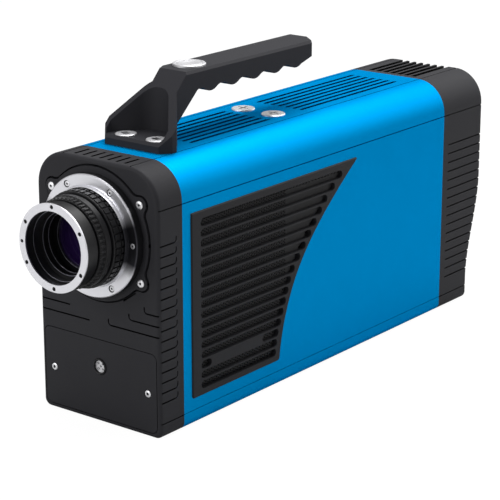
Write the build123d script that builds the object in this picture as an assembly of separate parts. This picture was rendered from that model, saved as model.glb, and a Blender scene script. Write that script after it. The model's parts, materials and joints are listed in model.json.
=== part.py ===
from build123d import *
import math
import os

# Gated, intensified and fan-cooled scientific camera. Millimetres, +Z up, lens towards -Y.
# Stations are measured back (+Y) from the front face of the front bezel, heights from the base.
# The last step moves everything so that the origin is the mouth of the main tripod thread.

# ---------------------------------------------------------------- driving sizes: body
WIDTH = 117.0
HEIGHT = 201.7
FRONT_LEN = 26.5
COVER_LEN = 346.2
REAR_LEN = 59.6
TOP_R = 27.0
BASE_R = 6.0
SIDE_WALL = 3.2
TOP_WALL = 6.0
BEZEL_WALL = 4.0
TRAY_HEIGHT = 11.9
TRAY_FLOOR = 6.0
LINE_WIDTH = 0.8
LINE_DEPTH = 0.6
SIDE_LINE_Z = 172.8
TOP_LINE_X = 32.4
FIT_GAP = 0.3
TRIPOD_STATION = 190.0

# top cooling grooves
GROOVE_COUNT = 7
GROOVE_PITCH = 7.2
GROOVE_WIDTH = 3.4
GROOVE_DEPTH = 3.5
FRONT_GROOVES = (80.0, 177.0)
REAR_GROOVES = (217.0, 353.0)

# side grilles
GRILLE_FRONT = 35.6
GRILLE_TOP = 163.8
GRILLE_BOTTOM = 21.2
GRILLE_TIP = 245.1
GRILLE_FOOT = 141.7
GRILLE_CURVE = ((206.8, 133.6), (162.9, 84.9), (145.1, 40.9))
GRILLE_PROUD = 1.0
GRILLE_LIP = 3.5
SLOT_FRONT = 46.4
SLOT_COUNT = 17
SLOT_PITCH = 7.82
SLOT_TOP_Z = 154.5
SLOT_HEIGHT = 5.2
SLOT_MARGIN = 9.0
SLOT_DRAFT = 7.0
GRILLE_CORNER = 2.6
GRILLE_TIP_R = 1.0
BARE_SLOT = 14
BARE_FROM = 57.0
BARE_TO = 120.0
MESH_THICK = 0.8

# bezel decoration
RIB_LINES = 16
RIB_PITCH = 7.9
RIB_TOP_Z = 146.5
RIB_WIDTH = 1.1
RIB_DEPTH = 0.9
RIB_FRONT = 2.0
RIB_REAR = 19.6
RIB_HOOK_R = 2.6
RIB_HOOK_RISE = 2.0
CROWN_LINES = 7
CROWN_WIDTH = 2.4
CROWN_DEPTH = 1.5
CROWN_PITCH = 8.0
CROWN_FRONT = 5.0
CROWN_REAR = 20.5
REAR_RIB_FRONT = 8.0
VENT_FRONT = 6.0
VENT_WIDTH = 4.8
HOOD_STEP = 27.3
HOOD_SETBACK = 17.0
HOOD_LOW_Z = 20.0
HOOD_HIGH_Z = 110.0
HOOD_PULL = 30.0
RIDGES = ((44.4, 95.0), (29.6, 87.0), (9.5, 78.8))
LEFT_RIDGES = ((-28.3, 86.7), (-9.2, 78.5))

# lens mount stack, all on one axis
LENS_Z = 146.4
FLANGE_R = 50.3
FLANGE_THICK = 5.0
FLANGE_PROUD = 1.0
EAR_X = 42.5
EAR_Z = 29.0
EAR_R = 5.8
EAR_SCREW_R = 3.1
EAR_FILLET = 7.0
FLANGE_GAP = 1.3
BASE_RING_R = 45.6
BASE_RING_FRONT = -6.7
BIG_RING_R = 45.9
BIG_RING_THICK = 1.5
BIG_LIP_R = 37.8
BIG_LIP_RISE = 2.6
BIG_SCREW_CIRCLE = 41.2
BIG_SCREW_R = 2.1
BIG_SCREW_GAP = 0.6
BIG_SCREW_SUNK = 0.35
BIG_SCREW_DEPTH = 1.0
COLLAR_R = 36.2
COLLAR_FRONT = -20.6
COLLAR_BORE = 31.0
FOCUS_R = 34.2
FOCUS_RIB_R = 33.5
FOCUS_FRONT = -32.0
FOCUS_REAR = -21.6
FOCUS_RIB_LEN = 5.2
FOCUS_RIBS = 60
TUBE_R = 31.5
TUBE_REAR = -33.2
BARREL_R = 30.0
BARREL_REAR = -10.0
BARREL_BORE = 27.6
FACE_STATION = -45.8
FACE_RING_THICK = 1.2
FACE_RING_R = 32.75
THROAT_R = 27.04
FACE_SCREW_CIRCLE = 30.2
FACE_SCREW_R = 1.5
INDEX_HOLE_R = 1.35
BAFFLE_STATIONS = (-38.4, -31.2, -26.2)
BAFFLE_RADII = (25.9, 23.4, 22.6)
BAFFLE_WALL = 1.2
BAFFLE_EDGE = 0.6
RUNNING_GAP = 0.06

# optics and cooling inside
WINDOW_HOLDER_R = 26.5
WINDOW_HOLDER_FRONT = -17.6
WINDOW_RIM_R = 22.0
WINDOW_R = 24.0
WINDOW_THICK = 2.5
WINDOW_FRONT = -15.6
TUBE_STATION = -9.0
INTENSIFIER_R = 23.0
INTENSIFIER_LEN = 36.0
RELAY_R = 30.0
RELAY_LEN = 86.0
BULKHEAD = 5.0
BENCH_Z = 92.0
BENCH_THICK = 4.0
CHAMBER_W = 76.0
CHAMBER_LEN = 28.0
CHAMBER_H = 90.0
SENSOR_SIZE = 26.0
PELTIER_SIZE = 40.0
PELTIER_THICK = 4.0
SINK_LEN = 56.0
SINK_BASE = 6.0
FIN_COUNT = 11
FIN_THICK = 1.6
RAIL = 10.0
RAIL_INSET = 2.0
GATE_SIZE = (64.0, 95.0, 46.0)
SUPPLY_SIZE = (70.0, 90.0, 32.0)
BOARD_SIZE = (92.0, 300.0, 1.6)
BOARD_Z = 20.0

# rear panel
PANEL_SETBACK = 27.3
PANEL_THICK = 3.0
LEDGE = 3.5
FAN_SIZE = 80.0
FAN_DEPTH = 25.0
FAN_BORE_R = 38.2
FAN_Z = 143.0
FAN_HUB_R = 18.0
FAN_SHAFT_R = 1.5
FAN_BLADES = 7
FAN_PIN = 32.0
EXHAUST_PITCH = 8.0
EXHAUST_HEIGHT = 4.2
INLET_X = -36.0
SWITCH_X = -36.0
POWER_Z = 34.0
SWITCH_Z = 66.0
ROCKER_R = 8.6
ROCKER_WIDTH = 10.0
ROCKER_THROW = 14.0
DATA_X = 0.0
DATA_Z = (34.0, 62.0)
TRIGGER_X = (22.0, 40.0)
TRIGGER_Z = (28.0, 50.0, 72.0)
TRIGGER_R = 4.8
STATUS_X = -16.0
STATUS_R = 2.0

# lens control panel on the front
CONTROL_HALF = 55.0
CONTROL_LOW = 4.0
CONTROL_HIGH = 65.0
CONTROL_R = 5.0
CONTROL_THICK = 3.0
CONTROL_GAP = 0.5
CONTROL_SCREW_X = 46.3
CONTROL_SCREW_Z = 33.5
CONTROL_SCREW_R = 2.75
SOCKET_Z = 44.0
SOCKET_R = 6.2
SOCKET_BORE = 5.0
SOCKET_PINS = 2.9
SOCKET_PIN_R = 0.75

# handle
FOOT_FRONT = 39.5
FOOT_HALF = 32.5
FOOT_SIDE = 52.0
FOOT_CHAMFER = 6.5
LIP_HEIGHT = 5.0
RAMP_DEG = 45.5
TAPER_DEG = 51.0
WEB = 6.0
NOSE_R = 15.4
POCKET_FLOOR = 6.6
POCKET_LIP = 2.2
POCKET_SHIFT = 2.6
GRIP_HALF = 16.3
GRIP_RISE = 51.4
GRIP_REAR = 251.0
GRIP_CHAMFER = 2.0
GRIP_CREST = 37.2
WAVE_DEPTH = 4.0
WAVE_FIRST = 112.0
WAVE_PITCH = 26.6
WAVE_COUNT = 5
ARCH_DEG = 41.3
ARCH_STATION = 98.0
ARM_FRONT = 47.0
REAR_BEVEL_X = 2.3
REAR_BEVEL = 11.7
FRONT_BEVEL_X = 11.0
FRONT_BEVEL_FROM = 86.0
FRONT_BEVEL_TO = 98.0
HANDLE_SCREW_X = 14.95
HANDLE_SCREW_STATION = 50.6
HANDLE_SCREW_R = 8.2
SCREW_SHANK_R = 3.0
SCREW_CLEARANCE = 0.3
SPARE_SCREW_STATION = 190.5
SPARE_SCREW_R = 9.4
CAP_R = 12.8
CAP_RISE = 2.0
CAP_STATION = 106.0

# threads in the base, tapping-drill radii
TRIPOD_R = 3.97
TRIPOD_DEPTH = 14.0
SMALL_TRIPOD_R = 2.55
SMALL_TRIPOD_STEP = 26.0
BASE_BOLT_R = 2.5
BASE_BOLT_X = 64.0
BASE_BOLT_Y = 220.0
BASE_BOLT_DEPTH = 10.0
BOSS_R = 9.0

# ---------------------------------------------------------------- derived stations
COVER_FRONT = FRONT_LEN
COVER_REAR = FRONT_LEN + COVER_LEN
BODY_REAR = COVER_REAR + REAR_LEN
HALF = WIDTH / 2
PANEL_STATION = BODY_REAR - PANEL_SETBACK - PANEL_THICK
FACE_RING_REAR = FACE_STATION + FACE_RING_THICK
BIG_RING_FRONT = BASE_RING_FRONT - BIG_RING_THICK
CORE_Z = BENCH_Z + BENCH_THICK
CHAMBER_STATION = COVER_FRONT + BULKHEAD + RELAY_LEN
SINK_STATION = CHAMBER_STATION + CHAMBER_LEN + PELTIER_THICK
GRIP_TOP = HEIGHT + GRIP_RISE


# ---------------------------------------------------------------- helpers
def bar(x0, x1, y0, y1, z0, z1):
    """Box from its limits."""
    block = Box(x1 - x0, y1 - y0, z1 - z0, align=(Align.MIN, Align.MIN, Align.MIN))
    return Pos(x0, y0, z0) * block


def prism_y(sketch, y0, y1):
    """Extrude an X-Z outline from station y0 back to y1."""
    return extrude(Plane.XZ.offset(-y0) * sketch, amount=y0 - y1)


def prism_x(sketch, x0, x1):
    """Extrude a Y-Z outline from x0 to x1."""
    return extrude(Plane.YZ.offset(x0) * sketch, amount=x1 - x0)


def rod_y(radius, y0, y1, x=0.0, z=LENS_Z):
    """Round bar along Y."""
    return prism_y(Pos(x, z) * Circle(radius), y0, y1)


def rod_z(radius, z0, z1, x, y):
    """Round bar along Z."""
    return Pos(x, y, z0) * Cylinder(radius, z1 - z0, align=(Align.CENTER, Align.CENTER, Align.MIN))


def turned(outline):
    """Revolve a closed (radius, station) outline about the lens axis."""
    face = make_face(Polyline(*outline, close=True))
    return Pos(0, 0, LENS_Z) * revolve(face, Axis.Y)


def collar(outer, inner, y0, y1):
    """Plain ring on the lens axis."""
    return turned([(inner, y0), (outer, y0), (outer, y1), (inner, y1)])


def section(inset=0.0, low=0.0, high=HEIGHT):
    """Body outline in X-Z, moved inwards by inset and cut to the heights low..high."""
    sketch = Pos(0, HEIGHT / 2) * Rectangle(WIDTH - 2 * inset, HEIGHT - 2 * inset)
    corners = sketch.vertices().group_by(Axis.Y)
    sketch = fillet(corners[-1], TOP_R - inset)
    sketch = fillet(sketch.vertices().group_by(Axis.Y)[0], max(BASE_R - inset, 1.0))
    if low > inset or high < HEIGHT - inset:
        keep = Pos(0, (low + high) / 2) * Rectangle(2 * WIDTH, high - low)
        sketch = sketch & keep
    return sketch


def evenly(count, pitch):
    """Offsets of a row of copies about its middle."""
    return [(index - (count - 1) / 2) * pitch for index in range(count)]


def on_circle(radius, angles):
    """X and Z of points on a circle about the lens axis."""
    return [(radius * math.cos(math.radians(a)), LENS_Z + radius * math.sin(math.radians(a))) for a in angles]


def seam_lines(y0, y1, with_base_line=True):
    """Fine lines that run along the body: two on each side and two on the top."""
    heights = [SIDE_LINE_Z] + ([TRAY_HEIGHT] if with_base_line else [])
    cuts = []
    for side in (-1, 1):
        for z in heights:
            x = side * HALF
            cuts.append(bar(x - LINE_DEPTH, x + LINE_DEPTH, y0, y1, z - LINE_WIDTH / 2, z + LINE_WIDTH / 2))
        x = side * TOP_LINE_X
        cuts.append(bar(x - LINE_WIDTH / 2, x + LINE_WIDTH / 2, y0, y1, HEIGHT - LINE_DEPTH, HEIGHT + LINE_DEPTH))
    return cuts


def compound(solids):
    """Group separate solids in one node."""
    return Compound(children=list(solids))


# ---------------------------------------------------------------- body shell
def base_tray():
    tray = prism_y(section(0.0, 0.0, TRAY_HEIGHT), COVER_FRONT, COVER_REAR)
    inner = HALF - SIDE_WALL
    tray -= bar(-inner, inner, COVER_FRONT, COVER_REAR, TRAY_FLOOR, TRAY_HEIGHT + 1)
    stations = [TRIPOD_STATION, TRIPOD_STATION + SMALL_TRIPOD_STEP]
    tray += bar(-BOSS_R, BOSS_R, stations[0] - BOSS_R, stations[1] + BOSS_R, TRAY_FLOOR, TRIPOD_DEPTH + 2)
    tray -= rod_z(TRIPOD_R, 0, TRIPOD_DEPTH, 0, stations[0])
    tray -= rod_z(SMALL_TRIPOD_R, 0, TRIPOD_DEPTH, 0, stations[1])
    for x in (-BASE_BOLT_X / 2, BASE_BOLT_X / 2):
        for y in (TRIPOD_STATION - BASE_BOLT_Y / 2, TRIPOD_STATION + BASE_BOLT_Y / 2):
            tray += rod_z(BOSS_R, TRAY_FLOOR, BASE_BOLT_DEPTH + 2, x, y)
            tray -= rod_z(BASE_BOLT_R, 0, BASE_BOLT_DEPTH, x, y)
    return tray


def grille_outline(inset=0.0):
    """Side grille outline in Y-Z: straight front, top and foot, and a long concave rear edge."""
    low = GRILLE_BOTTOM + inset
    high = GRILLE_TOP - inset
    front = GRILLE_FRONT + inset
    pull = 2.2 * inset
    top = Line((front, high), (GRILLE_TIP - pull, high))
    curve = [(y - inset, z) for y, z in GRILLE_CURVE]
    rear = Spline((GRILLE_TIP - pull, high), *curve, (GRILLE_FOOT - inset, low))
    foot = Line((GRILLE_FOOT - inset, low), (front, low))
    side = Line((front, low), (front, high))
    return make_face([top, rear, foot, side])


def slot_rear(z):
    """Station where a grille slot ends, a margin inside the concave rear edge."""
    edge = [(GRILLE_TIP, GRILLE_TOP), *GRILLE_CURVE, (GRILLE_FOOT, GRILLE_BOTTOM)]
    for (y1, z1), (y0, z0) in zip(edge, edge[1:]):
        if z0 <= z <= z1:
            share = (z - z0) / (z1 - z0)
            return y0 + share * (y1 - y0) - SLOT_MARGIN * math.hypot(1, (y1 - y0) / (z1 - z0)) / 1.25
    return GRILLE_FOOT - SLOT_MARGIN


def grille(side):
    """Moulded grille: a proud plate with a plug behind it that fills the opening in the cover."""
    outer = HALF + GRILLE_PROUD
    outline = grille_outline()
    outline = fillet(outline.vertices().sort_by(Axis.Y)[:2], GRILLE_CORNER)
    outline = fillet(outline.vertices().sort_by(Axis.Y)[-1], GRILLE_TIP_R)
    plate = prism_x(outline, HALF, outer)
    plate = chamfer(plate.faces().sort_by(Axis.X)[-1].outer_wire().edges(), GRILLE_PROUD * 0.9)
    plug = prism_x(grille_outline(GRILLE_LIP + FIT_GAP), HALF - SIDE_WALL, HALF)
    panel = plate + plug
    for index in range(SLOT_COUNT):
        z = SLOT_TOP_Z - index * SLOT_PITCH
        spans = [(SLOT_FRONT, slot_rear(z))]
        if index == BARE_SLOT:
            spans = [(SLOT_FRONT, BARE_FROM), (BARE_TO, slot_rear(z))]
        for y0, y1 in spans:
            pill = Pos((y0 + y1) / 2, z) * SlotOverall(y1 - y0, SLOT_HEIGHT)
            start = HALF - SIDE_WALL - 1
            panel -= extrude(Plane.YZ.offset(start) * pill, amount=SIDE_WALL + GRILLE_PROUD + 2, taper=-SLOT_DRAFT)
    return panel if side > 0 else mirror(panel, Plane.YZ)


def mesh(side):
    """Perforated sheet behind a grille; its holes are too fine for this model and stay plain."""
    x1 = HALF - SIDE_WALL
    sheet = prism_x(grille_outline(GRILLE_LIP + 1.5), x1 - MESH_THICK, x1)
    return sheet if side > 0 else mirror(sheet, Plane.YZ)


def housing_cover():
    cover = prism_y(section(0.0, TRAY_HEIGHT, HEIGHT), COVER_FRONT, COVER_REAR)
    inner_w = WIDTH - 2 * SIDE_WALL
    inner_h = HEIGHT - TOP_WALL
    cavity = Pos(0, inner_h / 2) * Rectangle(inner_w, inner_h)
    cavity = fillet(cavity.vertices().group_by(Axis.Y)[-1], TOP_R - SIDE_WALL)
    cover -= prism_y(cavity, COVER_FRONT - 1, COVER_REAR + 1)
    opening = grille_outline(GRILLE_LIP)
    cover -= prism_x(opening, HALF - SIDE_WALL - 1, HALF + 1)
    cover -= mirror(prism_x(opening, HALF - SIDE_WALL - 1, HALF + 1), Plane.YZ)
    for y0, y1 in (FRONT_GROOVES, REAR_GROOVES):
        for x in evenly(GROOVE_COUNT, GROOVE_PITCH):
            pill = Pos(x, (y0 + y1) / 2) * SlotOverall(y1 - y0, GROOVE_WIDTH, rotation=90)
            cover -= extrude(Plane.XY.offset(HEIGHT - GROOVE_DEPTH) * pill, amount=GROOVE_DEPTH + 1)
    for line in seam_lines(COVER_FRONT - 1, COVER_REAR + 1):
        cover -= line
    for x, y in screw_spots():
        cover -= rod_z(SCREW_SHANK_R + SCREW_CLEARANCE, HEIGHT - TOP_WALL - 1, HEIGHT + 1, x, y)
    return cover


def screw_spots():
    """The handle's two possible screw pairs, front one in use and rear one plugged."""
    pairs = (HANDLE_SCREW_STATION, SPARE_SCREW_STATION)
    return [(x, y) for y in pairs for x in (-HANDLE_SCREW_X, HANDLE_SCREW_X)]


# ---------------------------------------------------------------- bezels
def rib_path(y0, y1, z, hook=True):
    """Fine side line that turns upwards at its rear end."""
    parts = [Line((y0, z), (y1 - RIB_HOOK_R, z))]
    if hook:
        parts.append(ThreePointArc(
            (y1 - RIB_HOOK_R, z),
            (y1 - RIB_HOOK_R * (1 - math.sin(math.pi / 4)), z + RIB_HOOK_R * (1 - math.cos(math.pi / 4))),
            (y1, z + RIB_HOOK_R),
        ))
        parts.append(Line((y1, z + RIB_HOOK_R), (y1, z + RIB_HOOK_R + RIB_HOOK_RISE)))
    else:
        parts = [Line((y0, z), (y1, z))]
    return Curve() + parts


def side_ribs(y0, y1, hook):
    cuts = []
    for index in range(RIB_LINES):
        sketch = trace(rib_path(y0, y1, RIB_TOP_Z - index * RIB_PITCH, hook), RIB_WIDTH)
        groove = extrude(Plane.YZ.offset(HALF - RIB_DEPTH) * sketch, amount=2 * RIB_DEPTH)
        cuts += [groove, mirror(groove, Plane.YZ)]
    return cuts


def flange_outline(gap=0.0):
    """Round lens flange with four screw ears blended into it."""
    outline = Circle(FLANGE_R + gap)
    for x in (-EAR_X, EAR_X):
        for z in (-EAR_Z, EAR_Z):
            outline += Pos(x, z) * Circle(EAR_R + gap)
    corners = [v for v in outline.vertices() if math.hypot(v.X, v.Y) > FLANGE_R - 1]
    outline = fillet(corners, EAR_FILLET)
    return Pos(0, LENS_Z) * outline


def control_outline(grow=0.0):
    width = 2 * (CONTROL_HALF + grow)
    height = CONTROL_HIGH - CONTROL_LOW + 2 * grow
    return Pos(0, (CONTROL_LOW + CONTROL_HIGH) / 2) * RectangleRounded(width, height, CONTROL_R + grow)


def front_ridges():
    """Styling lines on the front face: hooked ones on the right, plain ones on the left, one beside the flange."""
    side = HALF + 1
    cuts = []
    for x, z in RIDGES:
        hooked = prism_y(trace(rib_path(-side, -x, z), RIB_WIDTH), -1, RIB_DEPTH)
        cuts.append(mirror(hooked, Plane.YZ))
    lines = [Line((-side, z), (x, z)) for x, z in LEFT_RIDGES]
    lines.append(Line((24.5, 100.2), (36.5, 108.6)))
    return cuts + [prism_y(trace(line, RIB_WIDTH), -1, RIB_DEPTH) for line in lines]


def front_bezel():
    block = prism_y(section(), 0, COVER_FRONT)
    block = fillet(block.faces().sort_by(Axis.Y)[0].edges(), 3.0)
    cavity = prism_y(section(BEZEL_WALL), 6.0, COVER_FRONT + 1)
    block -= cavity
    block += rod_y(FLANGE_R + EAR_R + 1, 6.0, FLANGE_THICK + 4) & cavity
    block -= prism_y(flange_outline(FLANGE_GAP), -1, FLANGE_THICK - FLANGE_PROUD)
    block -= rod_y(INTENSIFIER_R + 10, -1, COVER_FRONT)
    block -= prism_y(control_outline(CONTROL_GAP), -1, CONTROL_THICK)
    block -= rod_y(SOCKET_R + FIT_GAP, 0, 12, 0, SOCKET_Z)
    for line in seam_lines(-1, COVER_FRONT + 1):
        block -= line
    for groove in side_ribs(RIB_FRONT, RIB_REAR, True):
        block -= groove
    for x in evenly(CROWN_LINES, CROWN_PITCH):
        half = CROWN_WIDTH / 2
        block -= bar(x - half, x + half, CROWN_FRONT, CROWN_REAR, HEIGHT - CROWN_DEPTH, HEIGHT + 1)
    for ridge in front_ridges():
        block -= ridge
    return block


def hood_profile():
    """Side view of the rear bezel: full length at the top, set back with an S-curve near the base."""
    rear = BODY_REAR
    low = BODY_REAR - HOOD_SETBACK
    pts = Polyline((low, HOOD_LOW_Z), (low, -1), (COVER_REAR, -1), (COVER_REAR, HEIGHT + 1), (rear, HEIGHT + 1),
                   (rear, HOOD_HIGH_Z))
    curve = Bezier((rear, HOOD_HIGH_Z), (rear, HOOD_HIGH_Z - HOOD_PULL), (low, HOOD_LOW_Z + HOOD_PULL), (low, HOOD_LOW_Z))
    return make_face([*pts.edges(), curve])


def rear_bezel():
    shell = prism_y(section(), COVER_REAR, BODY_REAR) & prism_x(hood_profile(), -HALF - 1, HALF + 1)
    shell -= prism_y(section(BEZEL_WALL), PANEL_STATION, BODY_REAR + 1)
    shell -= prism_y(section(BEZEL_WALL + LEDGE), COVER_REAR - 1, BODY_REAR)
    for line in seam_lines(COVER_REAR - 1, BODY_REAR + 1):
        shell -= line
    for groove in side_ribs(COVER_REAR + REAR_RIB_FRONT, BODY_REAR + 1, False):
        shell -= groove
    for x in evenly(GROOVE_COUNT, GROOVE_PITCH):
        shell -= bar(x - VENT_WIDTH / 2, x + VENT_WIDTH / 2, COVER_REAR + VENT_FRONT, BODY_REAR + 1,
                     HEIGHT - BEZEL_WALL + 1.2, HEIGHT + 1)
    return shell


# ---------------------------------------------------------------- chassis
def inner_outline(clear):
    """Inside of the cover, for the bulkheads."""
    height = HEIGHT - TOP_WALL - clear - TRAY_FLOOR
    width = WIDTH - 2 * (SIDE_WALL + clear)
    plate = Pos(0, TRAY_FLOOR + height / 2) * Rectangle(width, height)
    return fillet(plate.vertices().group_by(Axis.Y)[-1], TOP_R - SIDE_WALL - clear)


def front_bulkhead():
    plate = prism_y(inner_outline(FIT_GAP), COVER_FRONT, COVER_FRONT + BULKHEAD)
    plate -= rod_y(INTENSIFIER_R + RUNNING_GAP, COVER_FRONT - 1, COVER_FRONT + BULKHEAD + 1)
    return plate


def rear_bulkhead():
    plate = prism_y(inner_outline(FIT_GAP), COVER_REAR - BULKHEAD, COVER_REAR)
    plate -= rod_y(FAN_BORE_R, COVER_REAR - BULKHEAD - 1, COVER_REAR + 1, 0, FAN_Z)
    plate -= bar(-HALF + 15, HALF - 15, COVER_REAR - BULKHEAD - 1, COVER_REAR + 1, 22, 80)
    return plate


def chassis_rails():
    """Four square bars between the bulkheads, two on the tray and two under the crown of the cover."""
    y0 = COVER_FRONT + BULKHEAD
    y1 = COVER_REAR - BULKHEAD
    x = HALF - SIDE_WALL - RAIL_INSET - RAIL
    bars = []
    for side in (-1, 1):
        low = bar(x, x + RAIL, y0, y1, TRAY_FLOOR, TRAY_FLOOR + RAIL)
        high = bar(x, x + RAIL, y0, y1, BENCH_Z - RAIL, BENCH_Z)
        bars += [low, high] if side > 0 else [mirror(low, Plane.YZ), mirror(high, Plane.YZ)]
    return compound(bars)


def bench_plate():
    half = HALF - SIDE_WALL - MESH_THICK - FIT_GAP
    plate = bar(-half, half, COVER_FRONT + BULKHEAD, COVER_REAR - BULKHEAD, BENCH_Z, BENCH_Z + BENCH_THICK)
    for y in (240.0, 300.0):
        plate -= bar(half - 16, half - 6, y, y + 40, BENCH_Z - 1, BENCH_Z + BENCH_THICK + 1)
    return plate


# ---------------------------------------------------------------- lens mount stack
def lens_flange():
    plate = prism_y(flange_outline(), -FLANGE_PROUD, FLANGE_THICK - FLANGE_PROUD)
    plate -= rod_y(WINDOW_HOLDER_R + RUNNING_GAP, -2, FLANGE_THICK + 1)
    for x in (-EAR_X, EAR_X):
        for z in (LENS_Z - EAR_Z, LENS_Z + EAR_Z):
            plate -= rod_y(EAR_SCREW_R * 0.55, -2, FLANGE_THICK + 1, x, z)
    return plate


def flat_screw(radius, x, z, seat, rise, depth):
    """Screw along Y: a low head in front of its seat and a plain shank behind it."""
    head = rod_y(radius, seat - rise, seat, x, z)
    return head + rod_y(radius * 0.5, seat, seat + depth, x, z)


def lens_flange_screws():
    spots = [(x, LENS_Z + z) for x in (-EAR_X, EAR_X) for z in (-EAR_Z, EAR_Z)]
    return compound(flat_screw(EAR_SCREW_R, x, z, -FLANGE_PROUD, 1.0, FLANGE_THICK) for x, z in spots)


def mount_base():
    inner = COLLAR_BORE
    return collar(BASE_RING_R, inner, BASE_RING_FRONT, -FLANGE_PROUD)


def mount_ring():
    """Bright ring with a bevelled rim and a raised inner lip around the collar."""
    front = BIG_RING_FRONT
    bevel = 0.7
    inner = COLLAR_R + FIT_GAP
    ring = turned([
        (inner, BASE_RING_FRONT), (BIG_RING_R, BASE_RING_FRONT), (BIG_RING_R, front + bevel),
        (BIG_RING_R - bevel, front), (BIG_LIP_R, front), (BIG_LIP_R - bevel, front - BIG_LIP_RISE),
        (inner, front - BIG_LIP_RISE),
    ])
    for x, z in on_circle(BIG_SCREW_CIRCLE, range(0, 360, 60)):
        ring -= rod_y(BIG_SCREW_R + BIG_SCREW_GAP, front - 1, front + BIG_SCREW_DEPTH, x, z)
    return ring


def mount_ring_screws():
    front = BIG_RING_FRONT
    return compound(rod_y(BIG_SCREW_R, front + BIG_SCREW_SUNK, front + BIG_SCREW_DEPTH, x, z)
                    for x, z in on_circle(BIG_SCREW_CIRCLE, range(0, 360, 60)))


def mount_collar():
    """Fixed collar; the front barrel slides in its bore."""
    return turned([
        (BARREL_R + RUNNING_GAP, COLLAR_FRONT), (COLLAR_R - 0.6, COLLAR_FRONT), (COLLAR_R, COLLAR_FRONT + 0.6),
        (COLLAR_R, BASE_RING_FRONT), (BARREL_R + RUNNING_GAP, BASE_RING_FRONT),
    ])


def focus_ring():
    """Knurled ring: a ribbed front band and a smooth rear band."""
    bore = BARREL_R + RUNNING_GAP
    step = FOCUS_FRONT + FOCUS_RIB_LEN
    ring = turned([
        (bore, FOCUS_FRONT), (FOCUS_RIB_R - 0.8, FOCUS_FRONT), (FOCUS_RIB_R, FOCUS_FRONT + 0.8), (FOCUS_RIB_R, step),
        (FOCUS_R, step + 0.5), (FOCUS_R, FOCUS_REAR), (bore, FOCUS_REAR),
    ])
    cut = bar(FOCUS_RIB_R - 0.5, FOCUS_RIB_R + 1, FOCUS_FRONT - 1, step, -0.8, 0.8)
    for index in range(FOCUS_RIBS):
        ring -= Pos(0, 0, LENS_Z) * Rot(0, index * 360 / FOCUS_RIBS, 0) * cut
    return ring


def front_tube():
    """Outer tube in front, stepped down to the barrel that runs in the collar."""
    return turned([
        (BARREL_BORE, FACE_RING_REAR), (TUBE_R, FACE_RING_REAR), (TUBE_R, TUBE_REAR), (BARREL_R, TUBE_REAR),
        (BARREL_R, BARREL_REAR), (BARREL_BORE, BARREL_REAR),
    ])


def front_ring():
    ring = collar(FACE_RING_R, THROAT_R, FACE_STATION, FACE_RING_REAR)
    for x, z in on_circle(FACE_SCREW_CIRCLE, range(30, 390, 60)):
        ring -= rod_y(FACE_SCREW_R + RUNNING_GAP, FACE_STATION - 1, FACE_RING_REAR + 1, x, z)
    for x, z in on_circle(FACE_SCREW_CIRCLE, [180]):
        ring -= rod_y(INDEX_HOLE_R, FACE_STATION - 1, FACE_RING_REAR + 1, x, z)
    return ring


def front_ring_screws():
    return compound(rod_y(FACE_SCREW_R, FACE_STATION + 0.3, FACE_RING_REAR, x, z)
                    for x, z in on_circle(FACE_SCREW_CIRCLE, range(30, 390, 60)))


def baffle_tube():
    """Light trap of three stepped rings that rides inside the front tube."""
    wall = BARREL_BORE - RUNNING_GAP
    rear = BAFFLE_STATIONS[-1] + 4.0
    tube = collar(wall, wall - BAFFLE_WALL, BAFFLE_STATIONS[0], rear)
    for station, radius in zip(BAFFLE_STATIONS, BAFFLE_RADII):
        tube += turned([(radius, station), (radius, station + BAFFLE_EDGE), (wall - 0.4, station + 2.0),
                        (wall - 0.4, station)])
    return tube


def window_holder():
    rim = WINDOW_HOLDER_FRONT
    seat = WINDOW_FRONT
    return turned([
        (WINDOW_RIM_R, rim), (WINDOW_HOLDER_R, rim), (WINDOW_HOLDER_R, FLANGE_THICK - FLANGE_PROUD),
        (INTENSIFIER_R + RUNNING_GAP, FLANGE_THICK - FLANGE_PROUD), (INTENSIFIER_R + RUNNING_GAP, TUBE_STATION),
        (WINDOW_R, TUBE_STATION), (WINDOW_R, seat), (WINDOW_RIM_R, seat),
    ])


def entrance_window():
    return rod_y(WINDOW_R - RUNNING_GAP, WINDOW_FRONT, WINDOW_FRONT + WINDOW_THICK)


def image_intensifier():
    """Sealed tube with a glass input face and a fibre output face."""
    back = COVER_FRONT + BULKHEAD
    body = rod_y(INTENSIFIER_R, TUBE_STATION, back)
    return body


# ---------------------------------------------------------------- optics, sensor, cooling
def relay_lens():
    y0 = COVER_FRONT + BULKHEAD
    return turned([
        (0, y0), (RELAY_R + 6, y0), (RELAY_R + 6, y0 + 4), (RELAY_R, y0 + 4), (RELAY_R, y0 + RELAY_LEN - 20),
        (RELAY_R - 5, y0 + RELAY_LEN - 20), (RELAY_R - 5, y0 + RELAY_LEN), (0, y0 + RELAY_LEN),
    ])


def relay_cradle():
    y0 = COVER_FRONT + BULKHEAD + 30
    block = bar(-24, 24, y0, y0 + 18, CORE_Z, LENS_Z - 8)
    return block - rod_y(RELAY_R + RUNNING_GAP, y0 - 1, y0 + 19)


def sensor_chamber():
    y0 = CHAMBER_STATION
    box = bar(-CHAMBER_W / 2, CHAMBER_W / 2, y0, y0 + CHAMBER_LEN, CORE_Z, CORE_Z + CHAMBER_H)
    box = fillet(box.edges().filter_by(Axis.Y), 5.0)
    room = SENSOR_SIZE + 18
    box -= bar(-room / 2, room / 2, y0 + 5, y0 + CHAMBER_LEN + 1, LENS_Z - room / 2, LENS_Z + room / 2)
    box -= rod_y(12.0, y0 - 1, y0 + 6)
    return box


def sensor_board():
    half = SENSOR_SIZE / 2 + 8
    y1 = CHAMBER_STATION + CHAMBER_LEN
    return bar(-half, half, y1 - 6.0, y1 - 4.4, LENS_Z - half, LENS_Z + half)


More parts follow.
